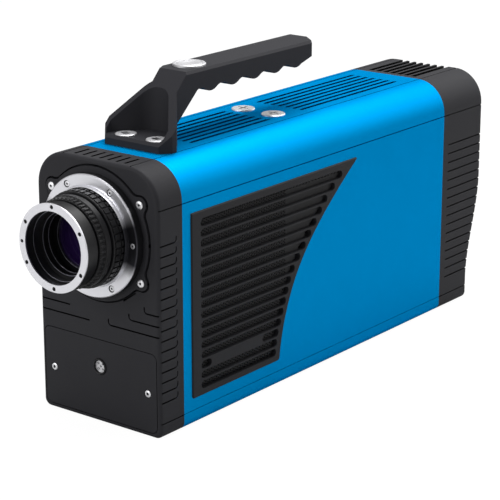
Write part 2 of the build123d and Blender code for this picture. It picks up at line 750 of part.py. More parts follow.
def image_sensor():
    half = SENSOR_SIZE / 2
    y1 = CHAMBER_STATION + CHAMBER_LEN - 6.0
    return bar(-half, half, y1 - 2.5, y1, LENS_Z - half, LENS_Z + half)


def cold_finger():
    half = SENSOR_SIZE / 2
    y1 = CHAMBER_STATION + CHAMBER_LEN
    return bar(-half, half, y1 - 4.4, y1, LENS_Z - half, LENS_Z + half)


def peltier_cooler():
    half = PELTIER_SIZE / 2
    y0 = CHAMBER_STATION + CHAMBER_LEN
    return bar(-half, half, y0, y0 + PELTIER_THICK, LENS_Z - half, LENS_Z + half)


def heat_sink():
    half = CHAMBER_W / 2
    y0 = SINK_STATION
    top = CORE_Z + CHAMBER_H
    sink = bar(-half, half, y0, y0 + SINK_BASE, CORE_Z, top)
    pitch = (CHAMBER_W - FIN_THICK) / (FIN_COUNT - 1)
    for x in evenly(FIN_COUNT, pitch):
        sink += bar(x - FIN_THICK / 2, x + FIN_THICK / 2, y0 + SINK_BASE, y0 + SINK_LEN, CORE_Z, top)
    return sink


def gate_module():
    width, length, height = GATE_SIZE
    y0 = SINK_STATION + SINK_LEN + 12
    box = bar(-width / 2, width / 2, y0, y0 + length, CORE_Z, CORE_Z + height)
    return chamfer(box.edges().filter_by(Axis.Z), 2.0)


def power_module():
    width, length, height = SUPPLY_SIZE
    y1 = COVER_REAR - BULKHEAD - 20
    box = bar(-width / 2, width / 2, y1 - length, y1, BENCH_Z - height, BENCH_Z)
    return chamfer(box.edges().filter_by(Axis.Z), 2.0)


def main_board():
    width, length, thick = BOARD_SIZE
    y0 = COVER_FRONT + BULKHEAD + 14
    board = bar(-width / 2 + 4, width / 2 - 4, y0, y0 + length, BOARD_Z, BOARD_Z + thick)
    for x, y in ((-20, 60), (16, 60), (-4, 120), (22, 190), (-20, 230)):
        board += bar(x - 9, x + 9, y0 + y - 9, y0 + y + 9, BOARD_Z + thick, BOARD_Z + thick + 3)
    return board


def board_standoffs():
    width, length, thick = BOARD_SIZE
    y0 = COVER_FRONT + BULKHEAD + 14
    spots = [(x, y0 + y) for x in (-width / 2 + 9, width / 2 - 9) for y in (48, length - 30)]
    return compound(rod_z(3.0, TRAY_FLOOR, BOARD_Z, x, y) for x, y in spots)


# ---------------------------------------------------------------- rear panel
def rear_panel_outline():
    return section(BEZEL_WALL + FIT_GAP)


def rear_panel():
    y0 = PANEL_STATION
    y1 = y0 + PANEL_THICK
    plate = prism_y(rear_panel_outline(), y0, y1)
    reach = FAN_BORE_R
    for z in evenly(int(2 * reach / EXHAUST_PITCH), EXHAUST_PITCH):
        half = math.sqrt(reach ** 2 - z ** 2) - 2
        if half > 8:
            slot = Pos(0, FAN_Z + z) * SlotOverall(2 * half, EXHAUST_HEIGHT)
            plate -= prism_y(slot, y0 - 1, y1 + 1)
    plate -= rod_y(8.0 + FIT_GAP, y0 - 1, y1 + 1, INLET_X, POWER_Z)
    half_w = ROCKER_WIDTH / 2 + 2.0
    half_h = ROCKER_R + 2.0
    plate -= bar(SWITCH_X - half_w, SWITCH_X + half_w, y0 - 1, y1 + 1, SWITCH_Z - half_h, SWITCH_Z + half_h)
    for z in DATA_Z:
        plate -= bar(DATA_X - 8, DATA_X + 8, y0 - 1, y1 + 1, z - 8, z + 8)
    for x in TRIGGER_X:
        for z in TRIGGER_Z:
            plate -= rod_y(TRIGGER_R + RUNNING_GAP, y0 - 1, y1 + 1, x, z)
    plate -= rod_y(STATUS_R + RUNNING_GAP, y0 - 1, y1 + 1, STATUS_X, SWITCH_Z + 14)
    return plate


def rear_panel_screws():
    y1 = PANEL_STATION + PANEL_THICK
    x = HALF - BEZEL_WALL - LEDGE - 2.2
    spots = [(side * x, z) for side in (-1, 1) for z in (14.0, 92.0, 168.0)]
    return compound(rod_y(2.6, y1, y1 + 1.6, sx, z) for sx, z in spots)


def power_inlet():
    """Round locking power socket with its pin insert."""
    y1 = PANEL_STATION + PANEL_THICK
    flange = rod_y(9.6, y1, y1 + 1.6, INLET_X, POWER_Z)
    barrel = rod_y(8.0, PANEL_STATION - 14, y1 + 5, INLET_X, POWER_Z)
    body = flange + barrel - rod_y(6.2, y1 - 4, y1 + 6, INLET_X, POWER_Z)
    for x, z in ((-2.4, -2.4), (2.4, -2.4), (-2.4, 2.4), (2.4, 2.4)):
        body += rod_y(0.8, y1 - 4, y1 + 3, INLET_X + x, POWER_Z + z)
    return body


def switch_frame():
    """Bezel and side cheeks of the power switch; the rocker's pins turn in the cheeks."""
    y0 = PANEL_STATION
    y1 = y0 + PANEL_THICK
    half_w = ROCKER_WIDTH / 2 + 1.8
    half_h = ROCKER_R + 1.8
    frame = bar(SWITCH_X - half_w, SWITCH_X + half_w, y0 - 12, y1, SWITCH_Z - half_h, SWITCH_Z + half_h)
    frame += bar(SWITCH_X - half_w - 1.5, SWITCH_X + half_w + 1.5, y1, y1 + 1.4,
                 SWITCH_Z - half_h - 1.5, SWITCH_Z + half_h + 1.5)
    room_w = ROCKER_WIDTH / 2 + FIT_GAP
    room_h = ROCKER_R + FIT_GAP
    frame -= bar(SWITCH_X - room_w, SWITCH_X + room_w, y0 - 10, y1 + 2, SWITCH_Z - room_h, SWITCH_Z + room_h)
    frame -= rocker_pin(1.2 + RUNNING_GAP, room_w + 1.3)
    return frame


def rocker_pin(radius, half_length):
    pivot = Plane.YZ.offset(SWITCH_X - half_length)
    circle = Pos(PANEL_STATION, SWITCH_Z) * Circle(radius)
    return extrude(pivot * circle, amount=2 * half_length)


def power_switch():
    """Rocker: a round-backed bar on a pin, with two flats in front that meet in a shallow V."""
    half_w = ROCKER_WIDTH / 2
    barrel = extrude(Plane.YZ.offset(SWITCH_X - half_w) * (Pos(PANEL_STATION, SWITCH_Z) * Circle(ROCKER_R)),
                     amount=ROCKER_WIDTH)
    tilt = ROCKER_THROW / 2
    front = PANEL_STATION + 5.0
    for turn in (-tilt - 4, tilt + 4):
        cutter = Pos(0, front, SWITCH_Z) * Rot(turn, 0, 0) * Box(400, 20, 80, align=(Align.CENTER, Align.MIN, Align.CENTER))
        barrel -= cutter
    barrel = Pos(0, PANEL_STATION, SWITCH_Z) * Rot(tilt, 0, 0) * Pos(0, -PANEL_STATION, -SWITCH_Z) * barrel
    return barrel + rocker_pin(1.2, half_w + 1.2)


def data_sockets():
    solids = []
    y1 = PANEL_STATION + PANEL_THICK
    for z in DATA_Z:
        shell = bar(DATA_X - 8 + FIT_GAP, DATA_X + 8 - FIT_GAP, PANEL_STATION - 22, y1 + 2, z - 8 + FIT_GAP, z + 8 - FIT_GAP)
        solids.append(shell - bar(DATA_X - 6.4, DATA_X + 6.4, y1 - 14, y1 + 3, z - 5.4, z + 5.4))
    return compound(solids)


def trigger_sockets():
    solids = []
    y1 = PANEL_STATION + PANEL_THICK
    for x in TRIGGER_X:
        for z in TRIGGER_Z:
            shell = rod_y(TRIGGER_R, PANEL_STATION - 8, y1 + 9, x, z) + rod_y(TRIGGER_R + 1.7, y1, y1 + 1.5, x, z)
            shell -= rod_y(TRIGGER_R - 0.8, y1 + 1, y1 + 10, x, z)
            solids.append(shell + rod_y(1.0, y1 + 1, y1 + 7, x, z))
    return compound(solids)


def status_light():
    return rod_y(STATUS_R, PANEL_STATION - 2, PANEL_STATION + PANEL_THICK + 0.8, STATUS_X, SWITCH_Z + 14)


def fan_frame():
    y1 = PANEL_STATION
    y0 = y1 - FAN_DEPTH
    half = FAN_SIZE / 2
    outline = Pos(0, FAN_Z) * RectangleRounded(FAN_SIZE, FAN_SIZE, 4)
    frame = prism_y(outline, y0, y1) - rod_y(FAN_BORE_R, y0 - 1, y1 + 1, 0, FAN_Z)
    frame += rod_y(FAN_HUB_R, y1 - 3, y1, 0, FAN_Z)
    for angle in range(45, 405, 90):
        spoke = Pos(0, 0, FAN_Z) * Rot(0, angle, 0) * bar(FAN_HUB_R - 1, FAN_BORE_R + 1, y1 - 3, y1, -2, 2)
        frame += spoke
    frame += rod_y(5.0, y1 - 12, y1 - 3, 0, FAN_Z)
    frame -= rod_y(FAN_SHAFT_R + RUNNING_GAP, y1 - 13, y1 - 2, 0, FAN_Z)
    for x in (-FAN_PIN, FAN_PIN):
        for z in (-FAN_PIN, FAN_PIN):
            frame -= rod_y(2.15, y0 - 1, y1 + 1, x, FAN_Z + z)
    return frame


def fan_rotor():
    """Cup hub on its shaft with swept blades."""
    y1 = PANEL_STATION - 4.2
    y0 = PANEL_STATION - FAN_DEPTH + 1.5
    hub = rod_y(FAN_HUB_R, y0, y1, 0, FAN_Z) - rod_y(FAN_HUB_R - 2, y0 + 3, y1 + 1, 0, FAN_Z)
    hub += rod_y(FAN_SHAFT_R, y0 + 1, PANEL_STATION - 2.6, 0, FAN_Z)
    tip = FAN_BORE_R - 1.0
    blade = Pos(0, (y0 + y1) / 2, 0) * Rot(38, 0, 0) * Box(
        tip - FAN_HUB_R + 2, 1.6, 17.0, align=(Align.MIN, Align.CENTER, Align.CENTER))
    blade = Pos(FAN_HUB_R - 2, 0, 0) * blade
    ring = rod_y(tip, y0, y1, 0, FAN_Z)
    for index in range(FAN_BLADES):
        piece = Pos(0, 0, FAN_Z) * Rot(0, index * 360 / FAN_BLADES, 0) * blade
        hub += (piece & ring) - rod_y(FAN_HUB_R - 1, y0, y1, 0, FAN_Z)
    return hub


def fan_screws():
    y0 = PANEL_STATION - FAN_DEPTH
    spots = [(x, FAN_Z + z) for x in (-FAN_PIN, FAN_PIN) for z in (-FAN_PIN, FAN_PIN)]
    y1 = PANEL_STATION + PANEL_THICK
    return compound(rod_y(3.4, y0 - 2, y0, x, z) + rod_y(2.0, y0, PANEL_STATION, x, z) for x, z in spots)


# ---------------------------------------------------------------- lens control panel
def lens_control_plate():
    plate = prism_y(control_outline(), 0, CONTROL_THICK)
    plate -= rod_y(SOCKET_R + FIT_GAP, -1, CONTROL_THICK + 1, 0, SOCKET_Z)
    for x in (-CONTROL_SCREW_X, CONTROL_SCREW_X):
        plate -= rod_y(CONTROL_SCREW_R + FIT_GAP, -1, 1.2, x, CONTROL_SCREW_Z)
    return plate


def lens_control_screws():
    return compound(rod_y(CONTROL_SCREW_R, -0.2, 1.2, x, CONTROL_SCREW_Z)
                    for x in (-CONTROL_SCREW_X, CONTROL_SCREW_X))


def lens_control_socket():
    shell = rod_y(SOCKET_R, -1.2, 12, 0, SOCKET_Z)
    return shell - rod_y(SOCKET_BORE, -2, 2.5, 0, SOCKET_Z)


def lens_control_insert():
    insert = rod_y(SOCKET_BORE - RUNNING_GAP, 0.4, 2.5, 0, SOCKET_Z)
    angles = [math.radians(a) for a in range(45, 405, 90)]
    holes = [(0.0, 0.0)] + [(SOCKET_PINS * math.cos(a), SOCKET_PINS * math.sin(a)) for a in angles]
    for x, z in holes:
        insert -= rod_y(SOCKET_PIN_R, 0, 1.6, x, SOCKET_Z + z)
    return insert


# ---------------------------------------------------------------- handle
def foot_plan(inset):
    """Plan of the handle's foot: chamfered front corners and sides that run back to a rounded nose."""
    slope = math.tan(math.radians(TAPER_DEG))
    normal = inset / math.cos(math.radians(TAPER_DEG)) if inset else 0.0
    half = FOOT_HALF - inset
    shoulder = FOOT_SIDE
    apex = shoulder + FOOT_HALF * slope - normal
    side = apex - half * slope
    front = FOOT_FRONT + (POCKET_LIP if inset else 0.0)
    cut = FOOT_CHAMFER * (0.4 if inset else 1.0)
    points = [(-half + cut, front), (half - cut, front), (half, front + 1.2 * cut), (half, side), (0, apex),
              (-half, side), (-half, front + 1.2 * cut)]
    sketch = make_face(Polyline(*points, close=True))
    nose = sketch.vertices().sort_by(Axis.Y)[-1]
    return fillet(nose, NOSE_R + (0 if inset else WEB))


def grip_side():
    """Side view of the arm and grip, with finger waves underneath as tangent arcs."""
    crest = HEIGHT + GRIP_CREST
    middle = crest - WAVE_DEPTH / 2
    quarter = WAVE_PITCH / 4
    bend = (quarter**2 + (WAVE_DEPTH / 2)**2) / WAVE_DEPTH
    last = WAVE_FIRST + (WAVE_COUNT - 1) * WAVE_PITCH
    arch_foot = ARCH_STATION - GRIP_CREST / math.tan(math.radians(ARCH_DEG))
    under = []
    for index in range(2 * WAVE_COUNT - 1):
        peak = last - 2 * quarter * index
        level = crest if index % 2 else crest - WAVE_DEPTH
        under.append(ThreePointArc((peak + quarter, middle), (peak, level), (peak - quarter, middle)))
    top = WAVE_FIRST - 2 * quarter
    half_turn = math.atan2(WAVE_DEPTH / 2, quarter)
    between = (top + bend * math.sin(half_turn), crest - bend * (1 - math.cos(half_turn)))
    under.append(ThreePointArc((top + quarter, middle), between, (top, crest)))
    outline = Polyline(
        (top, crest), (ARCH_STATION - 2.0, crest - 1.0), (arch_foot, HEIGHT), (ARM_FRONT, HEIGHT),
        (ARM_FRONT, GRIP_TOP), (GRIP_REAR, GRIP_TOP), (GRIP_REAR, crest + 5.0), (last + quarter, middle),
    )
    return make_face([*outline.edges(), *under])


def grip_arm():
    """Grip with bevelled upper edges and one bevelled rear corner."""
    half = GRIP_HALF
    arm = prism_x(grip_side(), -half, half)
    over = REAR_BEVEL / (half - REAR_BEVEL_X)
    corner = make_face(Polyline(
        (REAR_BEVEL_X, GRIP_REAR), (half + 1, GRIP_REAR - REAR_BEVEL - over), (half + 1, GRIP_REAR + 1),
        (REAR_BEVEL_X, GRIP_REAR + 1), close=True))
    arm -= extrude(Plane.XY.offset(HEIGHT) * corner, amount=GRIP_RISE + 1)
    flank = make_face(Polyline(
        (-half - 1, ARM_FRONT - 1), (-FRONT_BEVEL_X, ARM_FRONT - 1), (-FRONT_BEVEL_X, FRONT_BEVEL_FROM),
        (-half - 1, FRONT_BEVEL_TO), close=True))
    arm -= extrude(Plane.XY.offset(HEIGHT - 1) * flank, amount=GRIP_RISE + 2)
    edge = make_face(Polyline(
        (half - GRIP_CHAMFER, GRIP_TOP), (half + 1, GRIP_TOP - GRIP_CHAMFER - 1), (half + 1, GRIP_TOP + 1),
        (half - GRIP_CHAMFER, GRIP_TOP + 1), close=True))
    bevel = prism_y(edge, ARM_FRONT - 1, GRIP_REAR + 1)
    arm -= bevel
    return arm - mirror(bevel, Plane.YZ)


def handle():
    """Cantilever handle: ramped foot with a milled pocket, and a grip that reaches back over the body."""
    solid = extrude(Plane.XY.offset(HEIGHT) * foot_plan(0.0), amount=GRIP_RISE - 0.5) + grip_arm()
    run = GRIP_RISE - LIP_HEIGHT + 20
    rise = run / math.tan(math.radians(RAMP_DEG))
    above = make_face(Polyline(
        (FOOT_FRONT, HEIGHT + LIP_HEIGHT), (FOOT_FRONT + rise, HEIGHT + LIP_HEIGHT + run),
        (FOOT_FRONT - 30, HEIGHT + LIP_HEIGHT + run), (FOOT_FRONT - 30, HEIGHT + LIP_HEIGHT), close=True))
    solid -= prism_x(above, -2 * FOOT_HALF, 2 * FOOT_HALF)
    floor = HEIGHT + POCKET_FLOOR
    pocket = foot_plan(WEB)
    solid -= extrude(Plane.XY.offset(floor) * (pocket + Pos(-POCKET_SHIFT, 0) * pocket), amount=GRIP_RISE)
    for x in (-HANDLE_SCREW_X, HANDLE_SCREW_X):
        solid -= rod_z(SCREW_SHANK_R + SCREW_CLEARANCE, HEIGHT - 1, floor + 1, x, HANDLE_SCREW_STATION)
    solid -= rod_z(CAP_R - 3 + RUNNING_GAP, GRIP_TOP - 4, GRIP_TOP + 1, 0, CAP_STATION)
    return solid


def handle_screws():
    floor = HEIGHT + POCKET_FLOOR
    return compound(rod_z(HANDLE_SCREW_R, floor, floor + 1.3, x, HANDLE_SCREW_STATION)
                    + rod_z(SCREW_SHANK_R, HEIGHT - TOP_WALL, floor, x, HANDLE_SCREW_STATION)
                    for x in (-HANDLE_SCREW_X, HANDLE_SCREW_X))


def spare_screws():
    return compound(rod_z(SPARE_SCREW_R, HEIGHT, HEIGHT + 1.6, x, SPARE_SCREW_STATION)
                    + rod_z(SCREW_SHANK_R, HEIGHT - TOP_WALL, HEIGHT, x, SPARE_SCREW_STATION)
                    for x in (-HANDLE_SCREW_X, HANDLE_SCREW_X))


def handle_cap():
    plug = rod_z(CAP_R - 3, GRIP_TOP - 4, GRIP_TOP, 0, CAP_STATION)
    return plug + rod_z(CAP_R, GRIP_TOP, GRIP_TOP + CAP_RISE, 0, CAP_STATION)


NODES = {
    "base_tray": base_tray,
    "housing_cover": housing_cover,
    "front_bezel": front_bezel,
    "rear_bezel": rear_bezel,
    "grille_right": lambda: grille(1),
    "grille_left": lambda: grille(-1),
    "mesh_right": lambda: mesh(1),
    "mesh_left": lambda: mesh(-1),
    "front_bulkhead": front_bulkhead,
    "rear_bulkhead": rear_bulkhead,
    "chassis_rails": chassis_rails,
    "bench_plate": bench_plate,
    "lens_flange": lens_flange,
    "lens_flange_screws": lens_flange_screws,
    "mount_base": mount_base,
    "mount_ring": mount_ring,
    "mount_ring_screws": mount_ring_screws,
    "mount_collar": mount_collar,
    "focus_ring": focus_ring,
    "front_tube": front_tube,
    "front_ring": front_ring,
    "front_ring_screws": front_ring_screws,
    "baffle_tube": baffle_tube,
    "window_holder": window_holder,
    "entrance_window": entrance_window,
    "image_intensifier": image_intensifier,
    "relay_lens": relay_lens,
    "relay_cradle": relay_cradle,
    "sensor_chamber": sensor_chamber,
    "image_sensor": image_sensor,
    "sensor_board": sensor_board,
    "cold_finger": cold_finger,
    "peltier_cooler": peltier_cooler,
    "heat_sink": heat_sink,
    "gate_module": gate_module,
    "power_module": power_module,
    "main_board": main_board,
    "board_standoffs": board_standoffs,
    "rear_panel": rear_panel,
    "rear_panel_screws": rear_panel_screws,
    "power_inlet": power_inlet,
    "switch_frame": switch_frame,
    "power_switch": power_switch,
    "data_sockets": data_sockets,
    "trigger_sockets": trigger_sockets,
    "status_light": status_light,
    "fan_frame": fan_frame,
    "fan_rotor": fan_rotor,
    "fan_screws": fan_screws,
    "lens_control_plate": lens_control_plate,
    "lens_control_screws": lens_control_screws,
    "lens_control_socket": lens_control_socket,
    "lens_control_insert": lens_control_insert,
    "handle": handle,
    "handle_screws": handle_screws,
    "spare_screws": spare_screws,
    "handle_cap": handle_cap,
}

os.makedirs("parts", exist_ok=True)
for name, make in NODES.items():
    export_step(Pos(0, -TRIPOD_STATION, 0) * make(), f"parts/{name}.step")
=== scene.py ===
import json
import logging
import math
from collections.abc import Callable, Iterable, Sequence
from dataclasses import dataclass, field
from enum import Enum

import bmesh
import bpy
from mathutils import Matrix, Vector


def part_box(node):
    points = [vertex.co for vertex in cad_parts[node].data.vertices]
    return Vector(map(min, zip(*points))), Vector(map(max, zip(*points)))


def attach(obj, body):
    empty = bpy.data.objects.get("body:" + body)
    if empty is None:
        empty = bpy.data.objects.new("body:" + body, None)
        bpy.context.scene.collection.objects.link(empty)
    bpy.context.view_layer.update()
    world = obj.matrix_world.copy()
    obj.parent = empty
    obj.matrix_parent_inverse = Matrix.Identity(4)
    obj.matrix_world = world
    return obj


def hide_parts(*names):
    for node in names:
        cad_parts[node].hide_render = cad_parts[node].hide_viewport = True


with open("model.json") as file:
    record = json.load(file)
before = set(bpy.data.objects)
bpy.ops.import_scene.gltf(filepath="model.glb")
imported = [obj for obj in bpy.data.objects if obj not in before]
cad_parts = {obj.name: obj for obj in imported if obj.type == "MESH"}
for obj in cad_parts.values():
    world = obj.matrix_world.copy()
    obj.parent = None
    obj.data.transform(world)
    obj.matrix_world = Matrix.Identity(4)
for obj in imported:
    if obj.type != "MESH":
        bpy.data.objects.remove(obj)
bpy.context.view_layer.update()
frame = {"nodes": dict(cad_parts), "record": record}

# Looks of a fan-cooled scientific camera. Sizes in the classes are millimetres of the row frame.
log = logging.getLogger("camera")
MM = 0.001
Colour = tuple[float, float, float]
Point = tuple[float, float, float]


# ---------------------------------------------------------------- shader graph
class Value:
    """A node socket that can be used in Python arithmetic."""

    def __init__(self, graph: "Graph", socket: bpy.types.NodeSocket) -> None:
        """Keeps the socket and the graph that it belongs to."""
        self.graph = graph
        self.socket = socket

    def math(self, operation: str, first: "Value | float", second: "Value | float" = 0.0) -> "Value":
        """Adds one Math node.

        Args:
            operation: the Math node's operation.
            first: the left operand.
            second: the right operand.

        Returns:
            The node's result.
        """
        return self.graph.add("Math", {"operation": operation}, {0: first, 1: second})

    def __add__(self, other: "Value | float") -> "Value":
        """Sum."""
        return self.math("ADD", self, other)

    def __radd__(self, other: float) -> "Value":
        """Sum with a number on the left."""
        return self.math("ADD", other, self)

    def __sub__(self, other: "Value | float") -> "Value":
        """Difference."""
        return self.math("SUBTRACT", self, other)

    def __mul__(self, other: "Value | float") -> "Value":
        """Product."""
        return self.math("MULTIPLY", self, other)

    def __truediv__(self, other: "Value | float") -> "Value":
        """Quotient."""
        return self.math("DIVIDE", self, other)

    def __pow__(self, other: "Value | float") -> "Value":
        """Power."""
        return self.math("POWER", self, other)

    def clamp(self) -> "Value":
        """The value kept between 0 and 1."""
        return self.graph.add("Clamp", {}, {"Value": self})


Input = Value | float | Sequence[float]


class Graph:
    """The node tree of one material or of the surroundings."""

    def __init__(self, owner: bpy.types.Material | bpy.types.World) -> None:
        """Empties the owner's node tree.

        Args:
            owner: what the tree belongs to.
        """
        self.owner = owner
        owner.use_nodes = True
        self.tree = owner.node_tree
        self.tree.nodes.clear()

    def add(self, kind: str, settings: dict[str, object], inputs: dict[int | str, Input],
            output: int | str = 0) -> Value:
        """Adds any shader node.

        Args:
            kind: the node's type without its ShaderNode prefix.
            settings: attributes set before the sockets; "stops" fills a colour ramp.
            inputs: a value or a link for each named or numbered socket.
            output: the socket to hand back.

        Returns:
            The chosen output socket.
        """
        node = self.tree.nodes.new("ShaderNode" + kind)
        for key, setting in settings.items():
            if key == "stops":
                for index, (place, colour) in enumerate(setting):
                    ramp = node.color_ramp.elements
                    stop = ramp[index] if index < 2 else ramp.new(place)
                    stop.position = place
                    stop.color = (*colour, 1.0)
            else:
                setattr(node, key, setting)
        for key, value in inputs.items():
            if isinstance(value, Value):
                self.tree.links.new(value.socket, node.inputs[key])
            else:
                node.inputs[key].default_value = value
        return Value(self, node.outputs[output])

    def place(self) -> Value:
        """The point in the row frame, in metres."""
        return self.add("TexCoord", {}, {}, "Object")

    def part_of(self, point: Value, letter: str) -> Value:
        """One coordinate of a point."""
        return self.add("SeparateXYZ", {}, {0: point}, letter)

    def scaled(self, point: Value, scale: Point) -> Value:
        """A point stretched along the axes."""
        return self.add("VectorMath", {"operation": "MULTIPLY"}, {0: point, 1: scale})

    def noise(self, point: Value, scale: float, detail: float = 2.0) -> Value:
        """Noise in 3-D, about 0.5."""
        return self.add("TexNoise", {}, {"Vector": point, "Scale": scale, "Detail": detail})

    def streaks(self, along: Value, scale: float) -> Value:
        """Noise that changes along one number only, as tool marks do."""
        settings = {"noise_dimensions": "1D"}
        return self.add("TexNoise", settings, {"W": along, "Scale": scale, "Detail": 3.0})

    def tint(self, factor: Input, low: Colour, high: Colour) -> Value:
        """A colour between two colours."""
        return self.blend(factor, (*low, 1.0), high)

    def blend(self, factor: Input, base: Input, over: Colour) -> Value:
        """A colour with a plain colour laid over it."""
        return self.add("Mix", {"data_type": "RGBA"}, {0: factor, 6: base, 7: (*over, 1.0)}, 2)

    def bump(self, height: Value, strength: float, depth: float, under: Value | None = None) -> Value:
        """A bumped normal.

        Args:
            height: the height from 0 to 1.
            strength: the Bump node's strength.
            depth: the real height of the relief, in metres.
            under: a normal to build on.

        Returns:
            The normal.
        """
        inputs: dict[int | str, Input] = {"Height": height, "Strength": strength, "Distance": depth}
        if under is not None:
            inputs["Normal"] = under
        return self.add("Bump", {}, inputs)

    def rounded(self, radius: float) -> Value:
        """A normal that softens hard edges by a small radius, in metres."""
        return self.add("Bevel", {"samples": 4}, {"Radius": radius})

    def surface(self, **inputs: Input) -> bpy.types.Material:
        """Closes the graph with a Principled shader.

        Args:
            inputs: sockets by name, with _ for a space.

        Returns:
            The finished material.
        """
        named = {key.replace("_", " "): value for key, value in inputs.items()}
        shader = self.add("BsdfPrincipled", {}, named)
        self.add_output(shader)
        return self.owner

    def add_output(self, shader: Value, kind: str = "Material") -> None:
        """Links a shader to the tree's output, of a Material or of the World."""
        node = self.tree.nodes.new("ShaderNodeOutput" + kind)
        self.tree.links.new(shader.socket, node.inputs["Surface"])


# ---------------------------------------------------------------- finishes
class Grain(Enum):
    """The small relief of a finish."""

    BLASTED = "blasted"
    DRAWN = "drawn"
    TURNED = "turned"
    POWDER = "powder"
    MOULDED = "moulded"
    PLAIN = "plain"


@dataclass(frozen=True)
class Housing:
    """Outer planes of the housing, in millimetres of the row frame; groove floors below them get painted
    shade.
    """

    half_width: float = 58.5
    top: float = 201.7
    front: float = 190.0
    step: float = 0.15
    reach: float = 2.5


HOUSING = Housing()
GRAIN_DEPTH = 0.00008
# FACING finds the flat groove floors that get painted shade.
FACING = 0.9995
# Shape and level of the painted reflection: dark side wedges on turned metal.
SECTOR_EDGE = 0.70
SECTOR_SLOPE = 5.0
SECTOR_LEVEL = 0.035
FIXED_SHARE, GRAIN_SHARE, CLOUD_SHARE = 0.88, 0.16, 0.08


@dataclass(frozen=True)
class Finish:
    """An opaque surface finish with its own grain, mottling and softened edges."""

    name: str
    low: Colour
    high: Colour
    roughness: float
    metallic: float = 0.0
    specular: float = 0.5
    grain: Grain = Grain.PLAIN
    relief: float = 0.25
    edge: float = 0.25
    centre: tuple[float, float] = (0.0, 146.4)
    shaded: bool = False
    sector_from: float = 36.0
    # Colour painted on groove floors as painted shade, as their occlusion would darken them; None paints
    # none.
    painted_groove_shade: Colour | None = None
    rim: Colour = (1.0, 1.0, 1.0)

    def height(self, graph: Graph, point: Value) -> Value:
        """The grain's height field.

        Args:
            graph: the graph to add to.
            point: the place on the surface.

        Returns:
            A height between 0 and 1.
        """
        if self.grain is Grain.TURNED:
            radius = self.about_axis(graph, point)[1]
            return graph.streaks(radius + graph.part_of(point, "Y") * 0.83, 5200.0)
        if self.grain is Grain.DRAWN:
            return graph.noise(graph.scaled(point, (1.0, 0.04, 1.0)), 2600.0, 3.0)
        if self.grain is Grain.POWDER:
            return graph.noise(point, 1500.0, 3.0)
        if self.grain is Grain.MOULDED:
            cells = graph.add("TexVoronoi", {}, {"Vector": point, "Scale": 1300.0})
            return cells * 0.6 + graph.noise(point, 2600.0) * 0.4
        return graph.noise(point, 3200.0, 2.0)

    def about_axis(self, graph: Graph, point: Value) -> tuple[Value, Value]:
        """The offset across the turning axis and the radius from it."""
        across = graph.part_of(point, "X") - self.centre[0] * MM
        up = graph.part_of(point, "Z") - self.centre[1] * MM
        return across, (across * across + up * up) ** 0.5

    def painted_reflection_sectors(self, graph: Graph, point: Value) -> Value:
        """Painted reflection: two dark side wedges of the disc, painted where turned metal would mirror the
        dark side of the room.
        """
        across, radius = self.about_axis(graph, point)
        cosine = across / radius
        wide = radius.math("GREATER_THAN", radius, self.sector_from * MM)
        return ((cosine * cosine - SECTOR_EDGE) * SECTOR_SLOPE).clamp() * wide

    def groove_shade_mask(self, graph: Graph, point: Value) -> Value:
        """1 on the floors of grooves in the housing's flat sides, top and front, where painted shade goes,
        else 0.
        """
        normal = graph.add("NewGeometry", {}, {}, "True Normal")
        mask: Value | None = None
        for letter, face in (("X", HOUSING.half_width), ("Z", HOUSING.top), ("Y", HOUSING.front)):
            place = graph.part_of(point, letter)
            turned = graph.part_of(normal, letter)
            if letter != "Z":
                place = place.math("ABSOLUTE", place)
                turned = turned.math("ABSOLUTE", turned)
            inside = place.math("LESS_THAN", place, (face - HOUSING.step) * MM)
            if letter == "Y":
                inside = inside * place.math("GREATER_THAN", place, (face - HOUSING.reach) * MM)
            found = inside * turned.math("GREATER_THAN", turned, FACING)
            mask = found if mask is None else mask.math("MAXIMUM", mask, found)
        return mask

    def material(self) -> bpy.types.Material:
        """Builds the node material."""
        graph = Graph(bpy.data.materials.new(self.name))
        point = graph.place()
        grain = self.height(graph, point)
        clouds = graph.noise(point, 34.0, 3.0)
        mask = (clouds * 0.65 + grain * 0.35).clamp()
        rough = self.roughness * FIXED_SHARE + grain * (self.roughness * GRAIN_SHARE)
        rough = rough + clouds * (self.roughness * CLOUD_SHARE)
        normal = graph.bump(grain, self.relief, GRAIN_DEPTH, graph.rounded(self.edge * MM))
        colour = graph.tint(mask, self.low, self.high)
        # Painted reflection: dark side wedges painted into the colour of turned metal.
        if self.shaded:
            colour = graph.blend(self.painted_reflection_sectors(graph, point), colour, grey(SECTOR_LEVEL))
        metallic: Input = self.metallic
        # Painted shade: groove floors get a dark colour and full metallic, standing in for the shade inside
        # grooves and vents.
        if self.painted_groove_shade is not None:
            groove = self.groove_shade_mask(graph, point)
            colour = graph.blend(groove, colour, self.painted_groove_shade)
            metallic = (groove * (1.0 - self.metallic) + self.metallic).clamp()
        return graph.surface(
            Base_Color=colour, Roughness=rough, Metallic=metallic,
            Specular_IOR_Level=self.specular, Specular_Tint=(*self.rim, 1.0), Normal=normal,
        )


@dataclass(frozen=True)
class CoatedGlass:
    """Dark coated optical glass with a violet cast."""

    name: str = "coated_glass"
    facing: Colour = (0.004, 0.002, 0.010)
    grazing: Colour = (0.030, 0.012, 0.070)

    def material(self) -> bpy.types.Material:
        """Builds the node material."""
        graph = Graph(bpy.data.materials.new(self.name))
        rim = graph.add("LayerWeight", {}, {"Blend": 0.35}, "Facing")
        haze = graph.noise(graph.place(), 60.0) * 0.02 + 0.03
        return graph.surface(
            Base_Color=graph.tint(rim, self.facing, self.grazing), Roughness=haze,
            Specular_IOR_Level=0.35, Coat_Weight=0.3, Coat_Roughness=0.02, Coat_Tint=(0.55, 0.35, 1.0, 1.0),
        )


